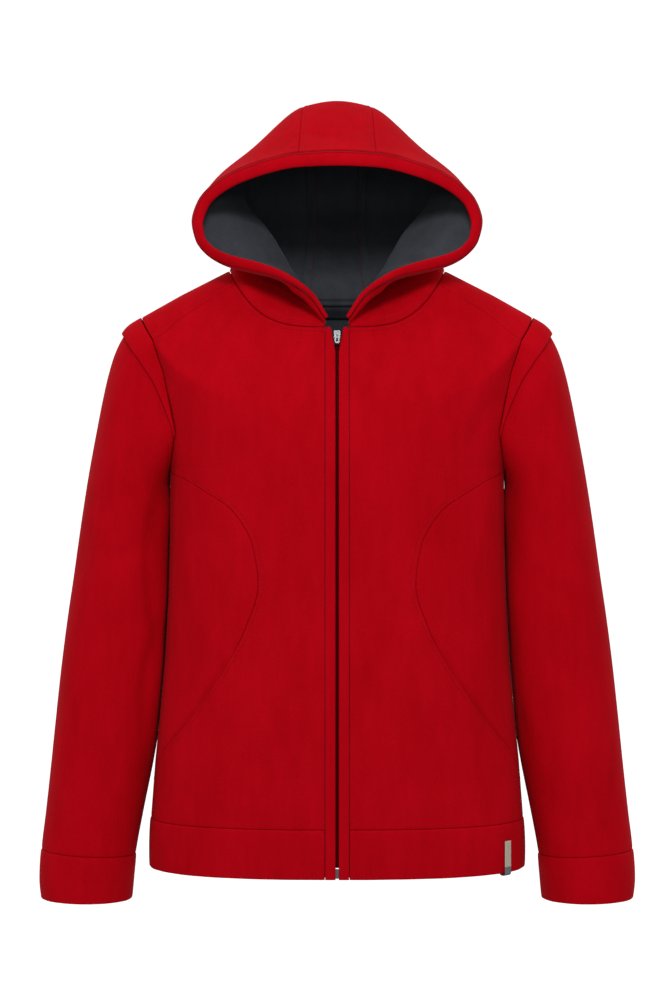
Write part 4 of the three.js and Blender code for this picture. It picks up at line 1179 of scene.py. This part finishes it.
fine = np.linspace(CHAIN_LOW, CHAIN_HIGH, 600)
run = run_of(body_point(np.zeros(600), fine)[None])[0]
middles = np.interp(np.arange(1, run[-1] - 1, TOOTH_PITCH / 2), run, fine)
at_points, at_normals = on_body(0 * middles, middles)
ways = unit(np.gradient(at_points, axis=0))
across = np.array([1.0, 0, 0])
vertices, corners = [], []
box = np.array([[x, y, z] for z in (-1, 1) for y in (-1, 1) for x in (-1, 1)], float)
box_faces = np.array([[0, 2, 3, 1], [4, 5, 7, 6], [0, 1, 5, 4], [2, 6, 7, 3], [0, 4, 6, 2], [1, 3, 7, 5]])
for n, (spot, normal, way) in enumerate(zip(at_points, at_normals, ways)):
    lean = 1 if n % 2 else -1
    tooth = box * TOOTH_HALF
    tooth[:, 0] += lean * TOOTH_ASIDE
    tooth[:, 2] *= np.where(tooth[:, 0] * lean > 1, 0.75, 1)
    vertices.append(spot - normal * TOOTH_IN + tooth @ np.array([across, way, normal]))
    corners.append(box_faces + 8 * n)
piece = make_mesh("zip_teeth", np.concatenate(vertices) * 0.001, np.concatenate(corners))
piece.data.polygons.foreach_set("use_smooth", np.zeros(len(piece.data.polygons), bool))
piece.data.materials.append(MATERIALS["coil"])
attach(piece, "garment")
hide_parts("zip_chain")

levels = np.linspace(CHAIN_LOW, CHAIN_HIGH, 260)
at = np.repeat(levels[:, None], 5, 1)
turns = turn_at_x(np.repeat(np.linspace(-CORE_HALF, CORE_HALF, 5)[None, :], len(levels), 0), at)
points, normals = on_body(turns, at)
make_cloth("zip_coil_core", points, normals, thick=CORE_THICK, proud=-CORE_IN, faces=("coil", "coil"))

material, shade, place = new_material("silver zip metal")
cloud = shade.noise(place, 900, 3.0)
scuff = shade.noise(shade.stretch(place, 1, 1, 0.2), 2600, 2.0)
finish_material(shade, {
    "Base Color": shade.mix(cloud, (0.20, 0.20, 0.205, 1), (0.42, 0.42, 0.43, 1)),
    "Metallic": 1.0,
    "Roughness": 0.10 + 0.18 * scuff,
    "Normal": shade.node("Bump", {}, {"Strength": 0.15, "Distance": 0.0001, "Height": cloud}),
})
for node in ("zip_slider", "zip_pull", "zip_bottom_stop"):
    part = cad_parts[node]
    part.data.materials.clear()
    part.data.materials.append(material)

# Hem label. A bare beige woven tape folded round the hem's lower edge on the wearer's left,
# with a grey-green end.
LABEL_MIDDLE = 151.0
LABEL_HALF = 4.5
LABEL_TOP = -498.0
LABEL_BEHIND = -518.0
LABEL_THICK = 0.8
LABEL_COLOUR_ENDS = -521.0

material, shade, place = new_material("beige woven tape")
warp = shade.node("TexWave", {"bands_direction": "X"}, {"Vector": place, "Scale": 900.0, "Distortion": 0.6})
weft = shade.node("TexWave", {"bands_direction": "Z"}, {"Vector": place, "Scale": 700.0, "Distortion": 0.6})
height = shade.node("SeparateXYZ", {}, {0: place}, out=2)
lower = shade.node("MapRange", {}, {0: height, 1: LABEL_COLOUR_ENDS * 0.001 - 0.0002,
                                    2: LABEL_COLOUR_ENDS * 0.001 + 0.0002, 3: 1.0, 4: 0.0})
weave = 0.5 * warp + 0.5 * weft
cloth = shade.mix(weave, (0.50, 0.45, 0.36, 1), (0.66, 0.61, 0.51, 1))
end = shade.mix(weave, (0.12, 0.16, 0.17, 1), (0.20, 0.25, 0.26, 1))
finish_material(shade, {
    "Base Color": shade.mix(lower, cloth, end),
    "Roughness": 0.8,
    "Normal": shade.node("Bump", {}, {"Strength": 0.5, "Distance": 0.0003, "Height": weave}),
})
MATERIALS["label"] = material

off = SEAM + 0.3
front_side, back_side = BAND_PROUD + off + 0.9, -SHELL - off - LABEL_THICK
levels = np.concatenate([np.linspace(LABEL_TOP, HEM, 30), np.full(12, HEM),
                         np.linspace(HEM, LABEL_BEHIND, 10)])
bend = np.concatenate([np.zeros(30), np.linspace(0, 1, 14)[1:-1], np.ones(10)])
proud = (front_side + back_side) / 2 + (front_side - back_side) / 2 * np.cos(np.pi * bend)
drop = np.sin(np.pi * bend) * (off + LABEL_THICK)
turns = turn_at_x(np.full(len(levels), LABEL_MIDDLE), levels)
middles = body_point(turns, levels) + body_normal(turns, levels) * proud[:, None]
middles[:, 2] -= drop
facing = body_normal(turns[:1], levels[:1])[0]
across = unit(np.array([-facing[1], facing[0], 0]))
shares = np.linspace(-LABEL_HALF, LABEL_HALF, 13)
points = middles[:, None] + across * shares[None, :, None]
ways = np.gradient(points, axis=0)
normals = unit(np.cross(ways, across))
if (normals[0, 0] * facing).sum() < 0:
    normals = -normals
piece = make_cloth("hem_label_tape", points, normals, thick=LABEL_THICK, proud=LABEL_THICK,
                   faces=("label", "label"))
state_cut(points)
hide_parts("hem_label")

# Seam turnings. The cut edges of each seam, about 5 mm a side, which lie flat behind it inside the
# garment. They are the same fleece, pressed thin, and no light comes through the seams.
TURNING_THICK = 0.8
TURNING_HALF = 4.5
TURNING_IN = SHELL + 0.85
MOUTH_TURNING_IN = 5.4
STRIP_TURNING_IN = 4.6
HEM_TURNING_IN = SHELL + 1.3


def lay_turning(name, points, normals, deep, height):
    run = climb(points)
    distance = np.minimum(run, run[-1:] - run) + EDGE
    piece = make_cloth(name, points, normals, distance, height, thick=TURNING_THICK, proud=-deep)
    state_cut(points)


def across_seam(line, normals):
    """Rows of points on both sides of a seam's line, square to it."""
    across = unit(np.cross(normals, np.gradient(line, axis=0)))
    steps = TURNING_HALF * np.array([-1, -0.92, -0.5, 0, 0.5, 0.92, 1])
    return line[None] + across[None] * steps[:, None, None], np.repeat(normals[None], len(steps), 0)


def body_turning(name, turns, levels, deep=TURNING_IN):
    points, normals = across_seam(*on_body(turns, levels))
    height = press(points, FRONT_FOLDS) + press(points, BACK_FOLDS, front=False)
    lay_turning(name, points, normals, deep, height)


def join_turning(name, edge, edge_normals, start, start_normals, back, ahead):
    """A turning round a corner: from one cloth's inside, past the seam, to the inside of the next."""
    step = ((edge - start) * start_normals).sum(-1, keepdims=True)
    square = np.clip((edge_normals * start_normals).sum(-1, keepdims=True), 0, 1)
    corner = edge - edge_normals * TURNING_IN * (1 - square) - start_normals * (TURNING_IN + step)
    first = edge + back - edge_normals * TURNING_IN
    last = start + ahead - start_normals * TURNING_IN
    shares = np.array([0, 0.08, 0.3, 0.6, 0.85])[:, None, None]
    points = np.concatenate([first + (corner - first) * shares, corner[None],
                             last + (corner - last) * shares[::-1]])
    normals = unit(np.concatenate([edge_normals + (start_normals - edge_normals) * shares * 0.5,
                                   (edge_normals + start_normals)[None] / 2,
                                   start_normals + (edge_normals - start_normals) * shares[::-1] * 0.5]))
    lay_turning(name, points, normals, 0.0, 0.0)


for side, sign in SIDES:
    levels = np.linspace(UNDERARM - 7, -312, 90)
    body_turning(f"curved_turning_{side}", sign * front_edge(levels), levels)
    levels = np.linspace(-316, CRESCENT_LOW + 5, 70)
    body_turning(f"mouth_turning_{side}", sign * (front_edge(levels) + 0.8), levels,
                 MOUTH_TURNING_IN)
    levels = np.linspace(SHOULDER_END + 6, NECK - 6, 40)
    body_turning(f"shoulder_turning_{side}", sign * np.full(40, SHOULDER_SEAM), levels)
    levels = np.linspace(UNDERARM - 7, HEM_SEAM + 6, 120)
    body_turning(f"side_turning_{side}", sign * np.full(120, SIDE), levels)

    edge, edge_normals = on_body(ARM_TURNS, ARM_LEVELS)
    rings = sleeve_rings([0, 0.35])
    start_normals = ring_normals(rings)[0]
    ahead = unit(rings[1] - rings[0]) * 5
    around = unit(np.roll(edge, -1, 0) - np.roll(edge, 1, 0))
    back = unit(np.cross(around, edge_normals))
    middle = np.array([150.0, 0, -95])
    back = back * np.where((back * (edge - middle)).sum(-1, keepdims=True) > 0, 1, -1) * 5
    loop = np.concatenate([np.arange(ROUND_SLEEVE), [0]])
    turn = MIRROR if sign < 0 else 1
    join_turning(f"armhole_turning_{side}", (edge * turn)[loop], (edge_normals * turn)[loop],
                 (rings[0] * turn)[loop], (start_normals * turn)[loop], (back * turn)[loop],
                 (ahead * turn)[loop])

for side, sign in SIDES:
    levels = np.linspace(HEM + 1.5, HEM + 24, 12)
    turns = sign * turn_at_x(np.full(12, STRIP_OUTER + 1.0), levels)
    body_turning(f"strip_turning_{side}", turns, levels, STRIP_TURNING_IN)
turns = np.linspace(14, 2 * BACK - 14, 300)
body_turning("hem_turning", turns, np.full(300, HEM_SEAM), HEM_TURNING_IN)
for side, turn in (("left", BACK - STRIP_HALF_TURN), ("right", BACK + STRIP_HALF_TURN)):
    alongs = np.linspace(0.06, 0.97, 110)
    turns = np.full(110, turn)
    points, normals = across_seam(*on_hood(turns, alongs))
    lay_turning(f"hood_turning_{side}", points, normals, TURNING_IN, 0.0)
turns = np.linspace(FIRST_TURN + 1, 2 * BACK - FIRST_TURN - 1, 320)
edge, edge_normals = on_body(turns, np.full(320, NECK))
low = body_point(turns, np.full(320, NECK - 1.0)) - edge
join_turning("neck_turning", edge, edge_normals, edge, hood_normal(turns, np.full(320, 0.03)),
             unit(low) * 1.2, hood_point(turns, np.full(320, 0.05)) - edge)

# Topstitching. Red polyester thread in a lockstitch of about 3 mm, sunk a little into the nap.
STITCH_LENGTH = 3.0
STITCH_HALF = 0.24
GAP_BETWEEN = 0.55

material, shade, place = new_material("red thread")
twist = shade.noise(place, 1600, 1.0)
finish_material(shade, {
    "Base Color": shade.mix(twist, (0.30, 0.001, 0.004, 1), (0.44, 0.003, 0.010, 1)),
    "Roughness": 0.6,
    "Specular IOR Level": 0.12,
})
MATERIALS["thread"] = material


def make_thread(name, line, normals):
    run = run_of(line[None])[0]
    starts = np.arange(2, run[-1] - STITCH_LENGTH, STITCH_LENGTH)
    if not len(starts):
        return
    share = np.array([0, 0.18, 0.5, 0.82, 1])
    places = starts[:, None] + GAP_BETWEEN / 2 + (STITCH_LENGTH - GAP_BETWEEN) * share
    spots = place_along(places, run, line)
    up = unit(place_along(places, run, normals))
    way = unit(np.gradient(spots, axis=1))
    side = unit(np.cross(up, way))
    sunk = np.array([-0.28, 0.06, 0.12, 0.06, -0.28])
    spots = spots + up * sunk[None, :, None]
    around = np.radians(np.arange(0, 360, 60))
    ring = spots[:, :, None] + STITCH_HALF * (side[:, :, None] * np.cos(around)[None, None, :, None]
                                              + up[:, :, None] * np.sin(around)[None, None, :, None])
    count, steps, sides = ring.shape[:3]
    number = np.arange(count * steps * sides).reshape(count, steps, sides)
    after = np.roll(number, -1, 2)
    tube = np.stack([number[:, :-1], after[:, :-1], after[:, 1:], number[:, 1:]], -1).reshape(-1, 4)
    lids = [number[:, 0][:, [3, 2, 1, 0]], number[:, 0][:, [5, 4, 3, 0]],
            number[:, -1][:, [0, 1, 2, 3]], number[:, -1][:, [0, 3, 4, 5]]]
    piece = make_mesh(name, ring.reshape(-1, 3) * 0.001, np.concatenate([tube, *lids]))
    piece.data.materials.append(MATERIALS["thread"])
    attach(piece, "garment")


for name, line, normals in THREADS:
    make_thread(name, line, normals)

# Studio. A plain pale floor and wall well behind the garment, soft light from the front and above,
# and a camera straight in front at the middle of the body.
ROOM_HALF = 20.0
ROOM_NEAR = -9.0
ROOM_FAR = 8.0
ROOM_TOP = 17.0
FLOOR = -2.4
WALL_LOW = FLOOR + 0.001


def make_stage(name, vertices, material_name, values):
    material, shade, place = new_material(material_name)
    finish_material(shade, {**values, "Roughness": 0.9})
    sheet = make_mesh(name, np.array(vertices), np.array([[0, 1, 3, 2]]))
    sheet.data.materials.append(material)


make_stage("wall", [[x, ROOM_FAR, z] for z in (WALL_LOW, ROOM_TOP) for x in (-ROOM_HALF, ROOM_HALF)],
           "pale sweep", {"Base Color": (0.93, 0.93, 0.925, 1), "Specular IOR Level": 0.1,
                          "Emission Color": (1, 1, 1, 1), "Emission Strength": 0.75})
make_stage("floor", [[x, y, FLOOR] for y in (ROOM_NEAR, ROOM_FAR) for x in (-ROOM_HALF, ROOM_HALF)],
           "pale floor", {"Base Color": (0.80, 0.80, 0.79, 1)})


def make_light(name, place, aim, size, power):
    light = bpy.data.lights.new(name, "AREA")
    light.shape = "RECTANGLE"
    light.size, light.size_y = size
    light.energy = power
    lamp = bpy.data.objects.new(name, light)
    lamp.location = place
    way = np.array(aim) - np.array(place)
    lamp.rotation_euler = Vector(way).to_track_quat("-Z", "Y").to_euler()
    bpy.context.scene.collection.objects.link(lamp)


make_light("front softbox", (0, -2.4, 1.4), (0, 0, -0.2), (1.1, 0.8), 38)
make_light("low softbox", (0, -2.5, 0.0), (0, 0, 0), (0.5, 0.4), 3.5)
make_light("left softbox", (-1.9, -0.5, 0.6), (0, 0, -0.3), (0.6, 1.5), 4.6)
make_light("right softbox", (1.9, -0.5, 0.6), (0, 0, -0.3), (0.6, 1.5), 3.8)
make_light("top softbox", (0, -0.2, 1.9), (0, 0.0, -0.2), (1.2, 0.9), 7)
world = bpy.data.worlds.new("studio")
bpy.context.scene.world = world
world.use_nodes = True
world.node_tree.nodes["Background"].inputs["Color"].default_value = (1, 1, 1, 1)
world.node_tree.nodes["Background"].inputs["Strength"].default_value = 0.24

camera = bpy.data.objects.new("camera", bpy.data.cameras.new("camera"))
bpy.context.scene.collection.objects.link(camera)
camera.location = (-0.001, -2.2, -0.197)
camera.rotation_euler = (np.pi / 2, 0, 0)
camera.data.sensor_fit = "HORIZONTAL"
camera.data.sensor_width = 36
camera.data.lens = 128.1
bpy.context.scene.camera = camera
bpy.context.scene.view_settings.view_transform = "Standard"
